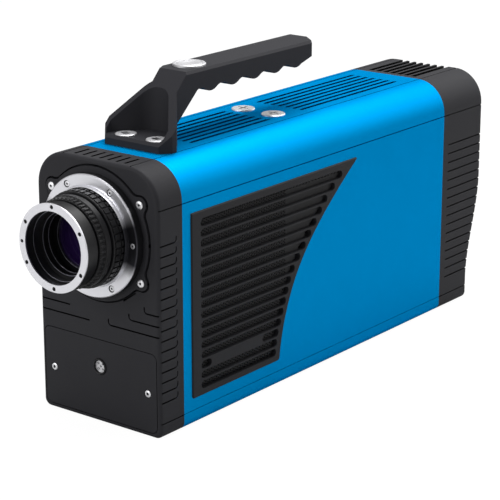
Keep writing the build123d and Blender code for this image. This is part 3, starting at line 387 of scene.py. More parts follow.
@dataclass(frozen=True)
class LitPlastic:
    """Clear coloured plastic of a status light, faintly glowing."""

    name: str = "status_lens"
    colour: Colour = (0.05, 0.6, 0.16)

    def material(self) -> bpy.types.Material:
        """Builds the node material."""
        graph = Graph(bpy.data.materials.new(self.name))
        clouds = graph.noise(graph.place(), 900.0)
        glow = graph.tint(clouds, self.colour, tuple(0.6 * part for part in self.colour))
        return graph.surface(Base_Color=glow, Roughness=clouds * 0.1 + 0.1, Emission_Color=glow,
                             Emission_Strength=0.25)


def grey(level: float, cool: float = 1.16) -> Colour:
    """A neutral colour with a slightly cool blue part."""
    return (level, level, level * cool)


FINISHES = {
    # The blue cover and the black bezel paint shade on their groove and vent floors.
    "cover_blue": Finish("blue_anodised", (0.0, 0.205, 0.45), (0.0, 0.230, 0.50), 0.52, 1.0, 0.10,
                         Grain.DRAWN, 0.08, painted_groove_shade=(0.0, 0.040, 0.14), rim=(0.0, 0.55, 0.90)),
    "bezel_black": Finish("black_powder", grey(0.013), grey(0.017), 0.58, 0.0, 0.11, Grain.POWDER, 0.20, 0.35,
                          painted_groove_shade=(0.0, 0.0, 0.0)),
    "grille_black": Finish("black_moulded", grey(0.009), grey(0.012), 0.54, 0.0, 0.12, Grain.MOULDED, 0.20),
    "mesh_black": Finish("black_mesh", grey(0.003), grey(0.005), 0.42, 0.0, 0.11, Grain.POWDER, 0.15, 0.1),
    "handle_black": Finish("black_blasted", grey(0.015), grey(0.019), 0.60, 0.0, 0.07, Grain.BLASTED, 0.16,
                           0.4),
    # The turned silver paints a dark reflection on the sides of its disc.
    "mount_silver": Finish("turned_silver", grey(0.58, 1.05), grey(0.66, 1.05), 0.34, 1.0, 0.5, Grain.TURNED,
                           0.12, 0.2, shaded=True),
    "screw_steel": Finish("screw_steel", grey(0.60, 1.03), grey(0.72, 1.03), 0.42, 1.0, 0.5, Grain.BLASTED,
                          0.10, 0.15),
    "cap_steel": Finish("cap_steel", grey(0.42, 1.03), grey(0.54, 1.03), 0.46, 1.0, 0.5, Grain.BLASTED, 0.30,
                        0.15),
    "screw_black": Finish("screw_black", grey(0.004), grey(0.006), 0.55, 0.0, 0.15, Grain.BLASTED, 0.06, 0.1),
    "ring_black": Finish("turned_black", grey(0.004), grey(0.007), 0.32, 0.0, 0.22, Grain.TURNED, 0.10, 0.2),
    # Bright metal for thin rings that paint the highlights of edges.
    "painted_edge_highlight": Finish("painted_edge_highlight", grey(0.30), grey(0.36), 0.34, 1.0, 0.5, Grain.TURNED, 0.05, 0.1),
    "tube_ceramic": Finish("potted_tube", grey(0.03), grey(0.04), 0.5, 0.0, 0.4, Grain.BLASTED, 0.1),
    "inner_aluminium": Finish("milled_aluminium", grey(0.26), grey(0.32), 0.42, 1.0, 0.5, Grain.DRAWN, 0.10),
    "optics_black": Finish("optics_black", grey(0.003), grey(0.005), 0.50, 0.0, 0.10, Grain.TURNED, 0.1),
    "module_grey": Finish("plated_box", grey(0.20), grey(0.24), 0.42, 0.9, 0.5, Grain.DRAWN, 0.08),
    "board_green": Finish("solder_mask", (0.004, 0.05, 0.02), (0.008, 0.08, 0.03), 0.35, 0.0, 0.5,
                          Grain.MOULDED, 0.1),
    "sensor_dark": Finish("sensor_die", (0.01, 0.012, 0.03), (0.02, 0.016, 0.05), 0.12, 0.3, 0.5, Grain.DRAWN,
                          0.03),
    "cooler_white": Finish("cooler_ceramic", grey(0.66, 0.96), grey(0.72, 0.96), 0.5, 0.0, 0.4, Grain.POWDER,
                           0.1),
    "panel_black": Finish("panel_black", grey(0.008), grey(0.011), 0.48, 0.0, 0.22, Grain.DRAWN, 0.14),
    "socket_metal": Finish("nickel", grey(0.50, 0.97), grey(0.60, 0.97), 0.30, 1.0, 0.5, Grain.BLASTED, 0.05,
                           0.15),
    "socket_black": Finish("black_nylon", grey(0.006), grey(0.009), 0.42, 0.0, 0.25, Grain.MOULDED, 0.12),
    "window_glass": CoatedGlass(),
    "status_green": LitPlastic(),
}


class Workshop:
    """Makes each finish once and hands it to the pieces."""

    def __init__(self) -> None:
        """Starts with no material made."""
        self.made: dict[str, bpy.types.Material] = {}

    def finish(self, name: str) -> bpy.types.Material:
        """The material of a finish, made on first use."""
        if name not in self.made:
            self.made[name] = FINISHES[name].material()
        return self.made[name]


SHOP = Workshop()


# ---------------------------------------------------------------- mesh making
class Axis(Enum):
    """The row axis that a turned shape runs along."""

    ALONG = 1
    UP = 2

    def point(self, centre: Point, radius: float, angle: float, station: float) -> Vector:
        """A point at a radius and an angle about the line through centre, at an absolute station."""
        a = radius * math.cos(angle)
        b = radius * math.sin(angle)
        if self is Axis.UP:
            return Vector((centre[0] + a, centre[1] + b, station))
        return Vector((centre[0] + a, station, centre[2] + b))


class Drive(Enum):
    """The shape of a screw's recess, as a radius that changes with the angle."""

    HEX = "hex"
    TORX = "torx"
    CROSS = "cross"

    def radius(self, size: float, angle: float) -> float:
        """The recess radius.

        Args:
            size: the greatest radius.
            angle: the angle about the screw, in radians.

        Returns:
            The radius at that angle.
        """
        if self is Drive.HEX:
            sixth = math.pi / 3
            return size * math.cos(sixth / 2) / math.cos(angle % sixth - sixth / 2)
        if self is Drive.TORX:
            return size * (0.88 + 0.12 * math.cos(6 * angle))
        return size * (0.34 + 0.66 * max(0.0, math.cos(4 * angle)) ** 0.35)


Ring = tuple[float, float]
Ripple = Callable[[int, float, float], float]


class Shape:
    """A mesh in the making, in millimetres."""

    def __init__(self) -> None:
        """Starts empty."""
        self.bm = bmesh.new()

    def turn(self, outline: Sequence[Ring], centre: Point, axis: Axis = Axis.ALONG, steps: int = 96,
             closed: bool = True, ripple: Ripple | None = None) -> None:
        """Revolves an outline.

        Args:
            outline: radius and absolute station of each ring; radius 0 makes a pole.
            centre: a point on the axis.
            axis: the direction of the axis.
            steps: segments round the circle.
            closed: whether the last ring joins the first.
            ripple: changes a ring's radius from its index, radius and angle.
        """
        rings = []
        for index, (radius, station) in enumerate(outline):
            if radius <= 0.0:
                rings.append([self.bm.verts.new(axis.point(centre, 0.0, 0.0, station))])
                continue
            ring = []
            for step in range(steps):
                angle = 2 * math.pi * step / steps
                reach = radius if ripple is None else ripple(index, radius, angle)
                ring.append(self.bm.verts.new(axis.point(centre, reach, angle, station)))
            rings.append(ring)
        pairs = list(zip(rings, rings[1:])) + ([(rings[-1], rings[0])] if closed else [])
        for one, two in pairs:
            self.bridge(one, two)

    def bridge(self, one: list[bmesh.types.BMVert], two: list[bmesh.types.BMVert]) -> None:
        """Faces between two rings, either of which may be a pole."""
        if len(one) == 1 and len(two) == 1:
            return
        count = max(len(one), len(two))
        for step in range(count):
            after = (step + 1) % count
            if len(one) == 1:
                corners = [one[0], two[after], two[step]]
            elif len(two) == 1:
                corners = [one[step], one[after], two[0]]
            else:
                corners = [one[step], one[after], two[after], two[step]]
            self.bm.faces.new(corners)

    def block(self, low: Point, high: Point, bevel: float = 0.0) -> None:
        """Box between two corners.

        Args:
            low: lowest corner.
            high: highest corner.
            bevel: width of the bevel on its edges.
        """
        made = bmesh.ops.create_cube(self.bm, size=1.0)["verts"]
        size = [b - a for a, b in zip(low, high)]
        middle = [(a + b) / 2 for a, b in zip(low, high)]
        place = Matrix.Translation(middle) @ Matrix.Diagonal((*size, 1.0))
        bmesh.ops.transform(self.bm, matrix=place, verts=made)
        if bevel > 0.0:
            edges = list(dict.fromkeys(edge for vert in made for edge in vert.link_edges))
            bmesh.ops.bevel(self.bm, geom=edges, offset=bevel, segments=2, affect="EDGES", profile=0.5)

    def loft(self, loops: Sequence[Sequence[Point]], capped: bool = True) -> None:
        """Skin through closed loops with the same number of points.

        Args:
            loops: the loops in order.
            capped: whether the two ends are closed.
        """
        rows = [[self.bm.verts.new(point) for point in loop] for loop in loops]
        for one, two in zip(rows, rows[1:]):
            self.bridge(one, two)
        if capped:
            self.bm.faces.new(rows[0])
            self.bm.faces.new(list(reversed(rows[-1])))

    def become(self, name: str, finish: str, body: str, stands_for: Iterable[str] = (),
               smooth: float = 32.0) -> bpy.types.Object:
        """Turns the mesh into a placed piece.

        Args:
            name: the piece's name.
            finish: its material slot and finish.
            body: the CAD body that it rides on.
            stands_for: CAD nodes that it replaces.
            smooth: greatest angle in degrees that is shaded smooth.

        Returns:
            The new object.
        """
        bmesh.ops.remove_doubles(self.bm, verts=self.bm.verts, dist=1e-4)
        bmesh.ops.recalc_face_normals(self.bm, faces=self.bm.faces)
        bmesh.ops.scale(self.bm, vec=(MM, MM, MM), verts=self.bm.verts)
        mesh = bpy.data.meshes.new(name)
        self.bm.to_mesh(mesh)
        self.bm.free()
        mesh.shade_smooth()
        mesh.set_sharp_from_angle(angle=math.radians(smooth))
        piece = bpy.data.objects.new(name, mesh)
        bpy.context.scene.collection.objects.link(piece)
        mesh.materials.append(SHOP.finish(finish))
        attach(piece, body)
        if stands_for:
            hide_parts(*stands_for)
        log.info("%s: %d faces in %s on %s", name, len(mesh.polygons), finish, body)
        return piece


@dataclass(frozen=True)
class Extent:
    """A box in millimetres."""

    low: Vector
    high: Vector

    @property
    def middle(self) -> Vector:
        """The box's middle."""
        return (self.low + self.high) / 2

    @property
    def size(self) -> Vector:
        """The box's size."""
        return self.high - self.low


def extent(node: str) -> Extent:
    """The box of a CAD node, in millimetres."""
    low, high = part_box(node)
    return Extent(low / MM, high / MM)


def solids(node: str) -> list[Extent]:
    """The boxes of the separate solids of a CAD node.

    Args:
        node: the CAD node's name.

    Returns:
        One box for each solid, in the order of x, then y, then z.
    """
    mesh = frame["nodes"][node].data
    keys = [tuple(round(part * 1e6) for part in vert.co) for vert in mesh.vertices]
    root: dict[tuple[int, ...], tuple[int, ...]] = {key: key for key in keys}

    def find(key: tuple[int, ...]) -> tuple[int, ...]:
        """The key that stands for a whole group."""
        while root[key] != key:
            root[key] = root[root[key]]
            key = root[key]
        return key

    for face in mesh.polygons:
        first = find(keys[face.vertices[0]])
        for other in face.vertices[1:]:
            root[find(keys[other])] = first
    groups: dict[tuple[int, ...], list[Vector]] = {}
    for key, vert in zip(keys, mesh.vertices):
        groups.setdefault(find(key), []).append(vert.co / MM)
    boxes = []
    for points in groups.values():
        low = Vector([min(point[i] for point in points) for i in range(3)])
        high = Vector([max(point[i] for point in points) for i in range(3)])
        boxes.append(Extent(low, high))
    return sorted(boxes, key=lambda box: tuple(round(part, 1) for part in box.middle))


# ---------------------------------------------------------------- fasteners
@dataclass
class ScrewSet:
    """All screws of one CAD node, with domed or flat heads and a driver recess."""

    node: str
    piece: str
    finish: str = "screw_steel"
    body: str = "camera"
    axis: Axis = Axis.ALONG
    facing: int = -1
    head_depth: float = 1.0
    dome: float = 0.25
    rim: float = 0.25
    drive: Drive = Drive.HEX
    drive_size: float = 0.45
    drive_depth: float = 0.7
    steps: int = 48
    # well: width of the black ring of painted shade round the head; 0 paints none.
    well: float = 0.0
    floor_depth: float = 0.12
    shank: float = 0.45

    def build(self) -> None:
        """Makes the whole set as one piece, and the painted shade of its recesses as a second piece."""
        shape = Shape()
        dark = Shape()
        for box in solids(self.node):
            self.one(shape, box)
            self.shadow(dark, box)
        shape.become(self.piece, self.finish, self.body, [self.node])
        dark.become(self.piece + "_recesses", "screw_black", self.body)

    def shadow(self, dark: Shape, box: Extent) -> None:
        """Adds painted shade: a black disc on the floor of the recess, and a black ring in the gap round a
        head set in a well.

        Args:
            dark: the mesh to add to.
            box: the solid's box.
        """
        along = self.axis.value
        radius = box.size[(along + 1) % 3] / 2
        top = box.high[along] if self.facing > 0 else box.low[along]
        way = float(self.facing)
        deep = top - way * (self.dome + self.drive_depth)
        lid = deep + way * self.floor_depth
        recess = radius * self.drive_size
        disc = [(0.0, deep), (recess, deep), (recess, lid), (0.0, lid)]
        dark.turn(disc, tuple(box.middle), self.axis, self.steps, closed=False,
                  ripple=lambda index, reach, angle: self.drive.radius(reach * 0.99, angle))
        if self.well > 0.0:
            low, high = top - way * 0.62, top - way * 0.25
            inner, outer = radius + 0.01, radius + self.well
            ring = [(inner, low), (outer, low), (outer, high), (inner, high)]
            dark.turn(ring, tuple(box.middle), self.axis, self.steps)

    def one(self, shape: Shape, box: Extent) -> None:
        """Adds one screw in the box of its CAD solid.

        Args:
            shape: the mesh to add to.
            box: the solid's box.
        """
        along = self.axis.value
        across = (along + 1) % 3
        radius = box.size[across] / 2
        top = box.high[along] if self.facing > 0 else box.low[along]
        under = box.low[along] if self.facing > 0 else box.high[along]
        way = float(self.facing)
        recess = radius * self.drive_size
        head = top - way * self.head_depth
        shank = radius * self.shank
        has_shank = abs(under - head) > 0.4
        deep = top - way * (self.dome + self.drive_depth)
        outline = [
            (0.0, deep), (recess, deep),
            (recess, top - way * self.dome * 0.15), (recess * 1.12, top - way * 0.02),
            (radius * 0.78, top - way * self.dome * 0.35), (radius - self.rim, top - way * self.dome),
            (radius, top - way * (self.dome + self.rim)), (radius, head),
        ]
        if has_shank:
            outline += [(shank, head), (shank, under), (0.0, under)]
        else:
            outline += [(0.0, head)]

        def ripple(index: int, reach: float, angle: float) -> float:
            """The driver's shape on the first rings."""
            return self.drive.radius(reach, angle) if index <= 3 else reach

        shape.turn(outline, tuple(box.middle), self.axis, self.steps, closed=False, ripple=ripple)


# ---------------------------------------------------------------- lens mount
@dataclass
class LensMount:
    """Knurled collar and ribbed focus ring on the lens axis."""

    pads_round: int = 44
    pad_rows: int = 2
    pad_gap: float = 1.3
    pad_depth: float = 1.0
    collar_rim: float = 1.1
    collar_rear: float = 1.0
    ribs: int = 56
    rib_depth: float = 1.1
    rib_band: float = 5.2
    chamfer: float = 0.45
    tube_wall: float = 1.3
    pad_slope: float = 0.28

    @property
    def bore(self) -> float:
        """The inner radius of both rings, hidden in the tube's wall."""
        return extent("front_tube").size.x / 2 - self.tube_wall

    @property
    def centre(self) -> Point:
        """A point on the lens axis."""
        middle = extent("front_ring").middle
        return (middle.x, middle.y, middle.z)

    def build(self) -> None:
        """Makes both rings."""
        self.collar()
        self.focus_ring()

    def collar(self) -> None:
        """Fixed collar with rows of square knurl pads."""
        box = extent("mount_collar")
        radius = box.size.x / 2
        front, rear = box.low.y, box.high.y
        floor = radius - self.pad_depth
        first = front + self.collar_rim
        last = rear - self.collar_rear
        shape = Shape()
        outline = [
            (self.bore, front), (radius - self.chamfer - 0.5, front), (radius - 0.5, front + self.chamfer),
            (radius - 0.5, first - 0.2), (floor, first), (floor, last), (radius - 0.2, last + 0.2),
            (radius - 0.2, rear), (self.bore, rear),
        ]
        shape.turn(outline, self.centre, steps=4 * self.pads_round)
        self.pads(shape, floor, radius, first, last)
        shape.become("knurled_collar", "ring_black", "camera", ["mount_collar"], smooth=26.0)

    def pads(self, shape: Shape, floor: float, radius: float, first: float, last: float) -> None:
        """Square pads between two stations.

        Args:
            shape: the mesh to add to.
            floor: radius at the foot of the pads.
            radius: radius at their tops.
            first: station where the first row starts.
            last: station where the last row ends.
        """
        pitch = (last - first) / self.pad_rows
        turn = 2 * math.pi / self.pads_round
        gap = self.pad_gap / radius
        for row in range(self.pad_rows):
            y0 = first + row * pitch + self.pad_gap / 2
            y1 = first + (row + 1) * pitch - self.pad_gap / 2
            for index in range(self.pads_round):
                a0 = index * turn + gap / 2
                a1 = (index + 1) * turn - gap / 2
                self.pad(shape, (a0, a1), (y0, y1), (floor - 0.05, radius))

    def pad(self, shape: Shape, angles: Ring, stations: Ring, radii: Ring) -> None:
        """One pad with sloped sides.

        Args:
            shape: the mesh to add to.
            angles: its start and end angle.
            stations: its start and end along the axis.
            radii: its foot and top radius.
        """
        loops = []
        inset = self.pad_slope
        for radius, shrink in ((radii[0], 0.0), (radii[1] - 0.15, inset * 0.5), (radii[1], inset)):
            turn = shrink / radius
            loop = []
            for share in (0.0, 1 / 3, 2 / 3, 1.0):
                angle = angles[0] + turn + share * (angles[1] - angles[0] - 2 * turn)
                loop.append(Axis.ALONG.point(self.centre, radius, angle, stations[0] + shrink))
            for share in (1.0, 2 / 3, 1 / 3, 0.0):
                angle = angles[0] + turn + share * (angles[1] - angles[0] - 2 * turn)
                loop.append(Axis.ALONG.point(self.centre, radius, angle, stations[1] - shrink))
            loops.append(loop)
        shape.loft(loops)

    def focus_ring(self) -> None:
        """Turning ring with fine ribs on its front band and a smooth rear band."""
        box = extent("focus_ring")
        radius = box.size.x / 2
        front, rear = box.low.y, box.high.y
        step = front + self.rib_band
        crest = radius - 0.55
        outline = [
            (self.bore, front), (crest - 1.3, front), (crest - 0.5, front + self.chamfer),
            (crest, front + 0.9),
            (crest, step - 0.5), (crest - 0.4, step), (radius - self.chamfer, step + 0.1),
            (radius, step + 0.5),
            (radius, rear - self.chamfer), (radius - self.chamfer, rear), (self.bore, rear),
        ]

        def ripple(index: int, reach: float, angle: float) -> float:
            """Flat-topped ribs on the front band."""
            if index not in (2, 3, 4):
                return reach
            wave = math.cos(self.ribs * angle)
            return reach - self.rib_depth * (0.5 - 0.5 * max(-1.0, min(1.0, 2.2 * wave)))

        shape = Shape()
        shape.turn(outline, self.centre, steps=8 * self.ribs, ripple=ripple)
        shape.become("ribbed_focus_ring", "ring_black", "focus_ring", ["focus_ring"], smooth=26.0)


# ---------------------------------------------------------------- side grilles
@dataclass
class PerforatedSheet:
    """Sheet of round holes in a triangular lattice behind one side grille."""

    side: int
    pitch: float = 2.42
    hole: float = 0.84
    thickness: float = 0.8
    corners: int = 6
    margin: float = 1.3
    rise: float = 1.8
    plain_from: float = -38.4
    edge: list[tuple[float, float]] = field(default_factory=list)

    @property
    def node(self) -> str:
        """The plain CAD sheet."""
        return "mesh_right" if self.side > 0 else "mesh_left"

    def rear_at(self, z: float) -> float:
        """Where the sheet's long curved edge is at a height.

        Args:
            z: the height.

        Returns:
            The station of the edge.
        """
        if not self.edge:
            corners = [vert.co / MM for vert in frame["nodes"][self.node].data.vertices]
            points = {(round(corner.z, 3), round(corner.y, 3)) for corner in corners}
            front = extent(self.node).low.y
            self.edge = sorted(point for point in points if point[1] > front + 1.0)
        for (z0, y0), (z1, y1) in zip(self.edge, self.edge[1:]):
            if z0 <= z <= z1 and z1 > z0:
                return y0 + (y1 - y0) * (z - z0) / (z1 - z0)
        return self.edge[-1][1]

    def build(self) -> None:
        """Fills the CAD sheet's outline with hexagonal cells."""
        box = extent(self.node)
        outer = (box.high.x if self.side > 0 else box.low.x) + self.side * self.rise
        inner = outer - self.side * self.thickness
        shape = Shape()
        step = self.pitch * math.sqrt(3) / 2
        columns = int((box.size.y - 2 * self.margin) / step)
        for column in range(columns):
            y = box.low.y + self.margin + (column + 0.5) * step
            z = box.low.z + self.margin + (0.5 + 0.5 * (column % 2)) * self.pitch
            while z + self.pitch / 2 < box.high.z - self.margin:
                limit = min(self.rear_at(z + near) for near in (-self.pitch, 0.0, self.pitch)) - self.margin
                if y + step < limit:
                    self.cell(shape, y, z, (outer, inner))
                z += self.pitch
        shape.become(f"perforated_{self.node}", "mesh_black", "camera", [self.node], smooth=50.0)

    def cell(self, shape: Shape, y: float, z: float, faces: Ring) -> None:
        """One hexagon of sheet, with its hole in the punched part.

        Args:
            shape: the mesh to add to.
            y: the hole's station.
            z: the hole's height.
            faces: x of the outer and the inner face.
        """
        rim = self.pitch / math.sqrt(3)
        angles = [index * 2 * math.pi / self.corners for index in range(self.corners)]
        whole = y > self.plain_from
        rings = [(faces[1], rim), (faces[0], rim)]
        if not whole:
            rings += [(faces[0], self.hole), (faces[1], self.hole)]
        loops = []
        for x, radius in rings:
            loop = [(x, y + radius * math.cos(a), z + radius * math.sin(a)) for a in angles]
            loops.append([shape.bm.verts.new(point) for point in loop])
        if whole:
            shape.bm.faces.new(loops[0])
            shape.bm.faces.new(loops[1])
            return
        shape.bridge(loops[1], loops[2])
        shape.bridge(loops[2], loops[3])
        shape.bridge(loops[3], loops[0])


# ---------------------------------------------------------------- light trap
@dataclass
class PaintedThroatHighlights:
    """Painted highlights: thin bright metal rings on the light trap's ring edges and on the window's rim,
    standing for the glint of their turned edges.
    """

    edges: tuple[Ring, ...] = ((25.9, -228.4), (23.4, -221.2), (22.6, -216.2))
    rim: Ring = (22.0, -207.6)
    width: float = 0.45

    def build(self) -> None:
        """Makes the painted highlights on the moving tube and the one on the camera."""
        moving = Shape()
        for edge in self.edges:
            self.ring(moving, edge)
        moving.become("baffle_painted_highlights", "painted_edge_highlight", "front_tube")
        fixed = Shape()
        self.ring(fixed, self.rim)
        fixed.become("window_rim_painted_highlight", "painted_edge_highlight", "camera")

    def ring(self, shape: Shape, edge: Ring) -> None:
        """One thin bright ring of painted highlight on the front of a step.

        Args:
            shape: the mesh to add to.
            edge: inner radius and station of the step.
        """
        radius, station = edge
        outer = radius + self.width
        outline = [(radius, station - 0.1), (outer, station - 0.1), (outer, station + 0.1),
                   (radius, station + 0.1)]
        shape.turn(outline, LensMount().centre, steps=120)


# ---------------------------------------------------------------- front socket
@dataclass
class ControlSocket:
    """Round socket on the front with a bright pin insert."""

    holes: int = 4
    hole_circle: float = 2.9
    hole: float = 0.75

    def build(self) -> None:
        """Makes the shell and the insert."""
        box = extent("lens_control_socket")
        front, rear = box.low.y, box.high.y
        radius = box.size.x / 2
        centre = tuple(box.middle)
        bore = extent("lens_control_insert").size.x / 2 + 0.06
        floor = front + 3.6
        outline = [
            (0.0, floor), (bore, floor), (bore, front + 0.3), (bore + 0.3, front), (radius - 0.7, front),
            (radius, front + 0.7), (radius, rear - 0.5), (radius - 0.5, rear), (0.0, rear),
        ]
        shape = Shape()
        shape.turn(outline, centre, steps=72, closed=False)
        shape.become("control_socket_shell", "socket_black", "camera", ["lens_control_socket"])
        self.insert(centre)

    def insert(self, centre: Point) -> None:
        """Bright contact block with five thin pins, and black discs round them that paint the shade of the
        pin holes.

        Args:
            centre: a point on the socket's axis.
        """
        box = extent("lens_control_insert")
        front, rear = box.low.y, box.high.y
        radius = box.size.x / 2
        shape = Shape()
        spots = [(0.0, 0.0)] + [
            (self.hole_circle * math.cos(a), self.hole_circle * math.sin(a))
            for a in (math.pi * (0.25 + index / 2) for index in range(self.holes))
        ]
        outline = [(radius, rear), (radius, front + 0.3), (radius - 0.3, front), (radius - 0.9, front),
                   (radius - 1.0, front + 0.5), (0.0, front + 0.5)]
        shape.turn(outline, centre, steps=72, closed=False)
        # Painted shade: black discs stand for the shade inside the pin holes.
        pin_hole_shade = Shape()
        for x, z in spots:
            spot = (centre[0] + x, centre[1], centre[2] + z)
            well = [(0.0, front + 0.5), (self.hole, front + 0.5), (self.hole, front + 0.42),
                    (0.0, front + 0.42)]
            pin_hole_shade.turn(well, spot, steps=24, closed=False)
            pin = [(0.3, front + 0.42), (0.3, front + 0.12), (0.18, front + 0.02), (0.0, front)]
            shape.turn(pin, spot, steps=16, closed=False)
        pin_hole_shade.become("control_socket_painted_hole_shade", "screw_black", "camera")
        shape.become("control_socket_insert", "cap_steel", "camera", ["lens_control_insert"])


# ---------------------------------------------------------------- handle
@dataclass
class HandleCap:
    """Turned cap on top of the handle."""

    dish: float = 0.2
    plug_inset: float = 3.0
    rise: float = 2.0

    def build(self) -> None:
        """Makes the cap with a bevelled rim, a fine groove and a shallow dish."""
        box = extent("handle_cap")
        low, high = box.low.z, box.high.z
        radius = box.size.x / 2
        middle = tuple(box.middle)
        plug = radius - self.plug_inset
        seat = high - self.rise
        outline = [
            (0.0, high - self.dish), (radius * 0.40, high - self.dish), (radius * 0.43, high - 0.05),
            (radius * 0.74, high - 0.05), (radius * 0.76, high - 0.3), (radius * 0.80, high - 0.3),
            (radius * 0.82, high), (radius - 0.6, high), (radius, high - 0.6), (radius, seat), (plug, seat),
            (plug, low), (0.0, low),
        ]
        shape = Shape()
        shape.turn(outline, middle, Axis.UP, 96, closed=False)
        shape.become("turned_cap", "cap_steel", "camera", ["handle_cap"])


# ---------------------------------------------------------------- rear panel
@dataclass
class RearSockets:
    """Data, trigger and power sockets of the rear panel."""

    tongue: Point = (9.0, 8.0, 2.0)
    shell_wall: float = 1.0
    shell_depth: float = 14.0
    barrel: float = 4.8
    lug: float = 1.1

    def build(self) -> None:
        """Makes the three kinds of socket."""
        self.data()
        self.trigger()
        self.power()

    def data(self) -> None:
        """Rectangular data sockets: a folded shell with a dark tongue inside."""
        shells = Shape()
        tongues = Shape()
        for box in solids("data_sockets"):
            low, high, middle = box.low, box.high, box.middle
            wall, floor = self.shell_wall, high.y - self.shell_depth
            steps = ((low.y, 0.0), (high.y - 0.3, 0.0), (high.y, 0.3), (high.y, wall), (floor, wall))
            shells.loft([self.rectangle(box, y, inset) for y, inset in steps])
            width, length, thick = self.tongue
            tongues.block((middle.x - width / 2, floor, middle.z - thick / 2),
                          (middle.x + width / 2, floor + length, middle.z + thick / 2), 0.3)
        shells.become("data_socket_shells", "socket_metal", "camera", ["data_sockets"])
        tongues.become("data_socket_tongues", "socket_black", "camera")

    def rectangle(self, box: Extent, y: float, inset: float, corner: float = 0.9) -> list[Point]:
        """Rounded rectangle across the body.

        Args:
            box: the outer limits.
            y: its station.
            inset: how far it lies inside them.
            corner: corner cut.

        Returns:
            Eight points.
        """
        x0, x1 = box.low.x + inset, box.high.x - inset
        z0, z1 = box.low.z + inset, box.high.z - inset
        c = corner
        return [(x0 + c, y, z0), (x1 - c, y, z0), (x1, y, z0 + c), (x1, y, z1 - c),
                (x1 - c, y, z1), (x0 + c, y, z1), (x0, y, z1 - c), (x0, y, z0 + c)]

    def trigger(self) -> None:
        """Bayonet coaxial sockets with a nut, two lugs and a white insulator."""
        metal = Shape()
        cores = Shape()
        for box in solids("trigger_sockets"):
            front = box.high.y
            middle = tuple(box.middle)
            outer = self.barrel
            seat = front - 9.0
            shell = [
                (4.0, front - 8.0), (4.0, front - 0.3), (4.2, front), (outer - 0.2, front),
                (outer, front - 0.4),
                (outer, seat + 1.5), (outer, box.low.y), (3.0, box.low.y), (3.0, front - 8.0),
            ]
            metal.turn(shell, middle, steps=48)
            nut = [(outer + 0.05, seat), (outer + 1.7, seat), (outer + 1.7, seat + 1.1),
                   (outer + 1.3, seat + 1.5),
                   (outer + 0.05, seat + 1.5)]
            metal.turn(nut, middle, steps=36, ripple=lambda index, reach, angle: (
                Drive.HEX.radius(reach * 1.06, angle) if index in (1, 2) else reach))
            for sign in (-1, 1):
                reach = outer + self.lug
                x0, x1 = sorted((middle[0] + sign * (outer - 0.3), middle[0] + sign * reach))
                metal.block((x0, front - 4.6, middle[2] - 0.9), (x1, front - 2.8, middle[2] + 0.9), 0.2)
            cores.turn([(0.0, front - 8.0), (3.9, front - 8.0), (3.9, front - 6.5), (2.2, front - 6.5),
                        (2.2, front - 2.4), (0.7, front - 2.4), (0.7, front - 4.0), (0.0, front - 4.0)],
                       middle, steps=36, closed=False)
        metal.become("trigger_socket_shells", "socket_metal", "camera", ["trigger_sockets"])
        cores.become("trigger_socket_cores", "cooler_white", "camera")

    def power(self) -> None:
        """Round locking power socket with its flange and four pins."""
        box = extent("power_inlet")
        front, rear = box.high.y, box.low.y
        middle = tuple(box.middle)
        seat = front - 5.0
        metal = Shape()
        flange = box.size.x / 2
        metal.turn([(6.2, seat - 4.0), (6.2, front - 0.4), (6.6, front), (7.5, front), (8.0, front - 0.5),
                    (8.0, seat + 1.6), (flange - 0.4, seat + 1.6), (flange, seat + 1.2), (flange, seat),
                    (7.98, seat),
                    (7.98, rear), (0.0, rear), (0.0, seat - 4.0)], middle, steps=60, closed=False)
        metal.become("power_socket_shell", "socket_metal", "camera", ["power_inlet"])
        pins = Shape()
        pins.turn([(6.1, seat - 3.95), (6.1, seat - 2.0), (0.0, seat - 2.0)], middle, steps=48, closed=False)
        for x in (-2.4, 2.4):
            for z in (-2.4, 2.4):
                spot = (middle[0] + x, middle[1], middle[2] + z)
                pins.turn([(0.8, seat - 2.0), (0.8, front - 2.6), (0.5, front - 2.0), (0.0, front - 1.9)],
                          spot,
                          steps=20, closed=False)
        pins.become("power_socket_pins", "socket_black", "camera")


@dataclass
class PowerSwitch:
    """Plain rocker with a round back and two slightly sloping flats."""

    radius: float = 8.4
    half_width: float = 4.9
    tilt: float = 7.0
    pivot: Point = (-36.0, 212.0, 66.0)
    front: float = 4.6

    def build(self) -> None:
        """Makes the rocker on the switch body."""
        shape = Shape()
        profile = self.profile()
        loops = []
        for x, shrink in ((-self.half_width, 0.94), (-self.half_width + 0.4, 1.0),
                          (self.half_width - 0.4, 1.0),
                          (self.half_width, 0.94)):
            loops.append([self.turned(x, y * shrink, z * shrink) for y, z in profile])
        shape.loft(loops)
        shape.become("rocker", "socket_black", "switch", ["power_switch"])

    def profile(self) -> list[tuple[float, float]]:
        """Side view about the pin: a round back and a front of two flats."""
        points = []
        for degrees in range(120, 421, 10):
            angle = math.radians(degrees)
            points.append((self.radius * math.sin(angle), self.radius * math.cos(angle)))
        kept = [(y, z) for y, z in points if y <= self.front]
        return kept + [(self.front, self.radius * 0.72), (self.front - 1.2, 0.0),
                       (self.front, -self.radius * 0.72)]

    def turned(self, x: float, y: float, z: float) -> Point:
        """A point of the rocker, turned to its rest position."""
        angle = math.radians(self.tilt)
        return (self.pivot[0] + x, self.pivot[1] + y * math.cos(angle) - z * math.sin(angle),
                self.pivot[2] + y * math.sin(angle) + z * math.cos(angle))


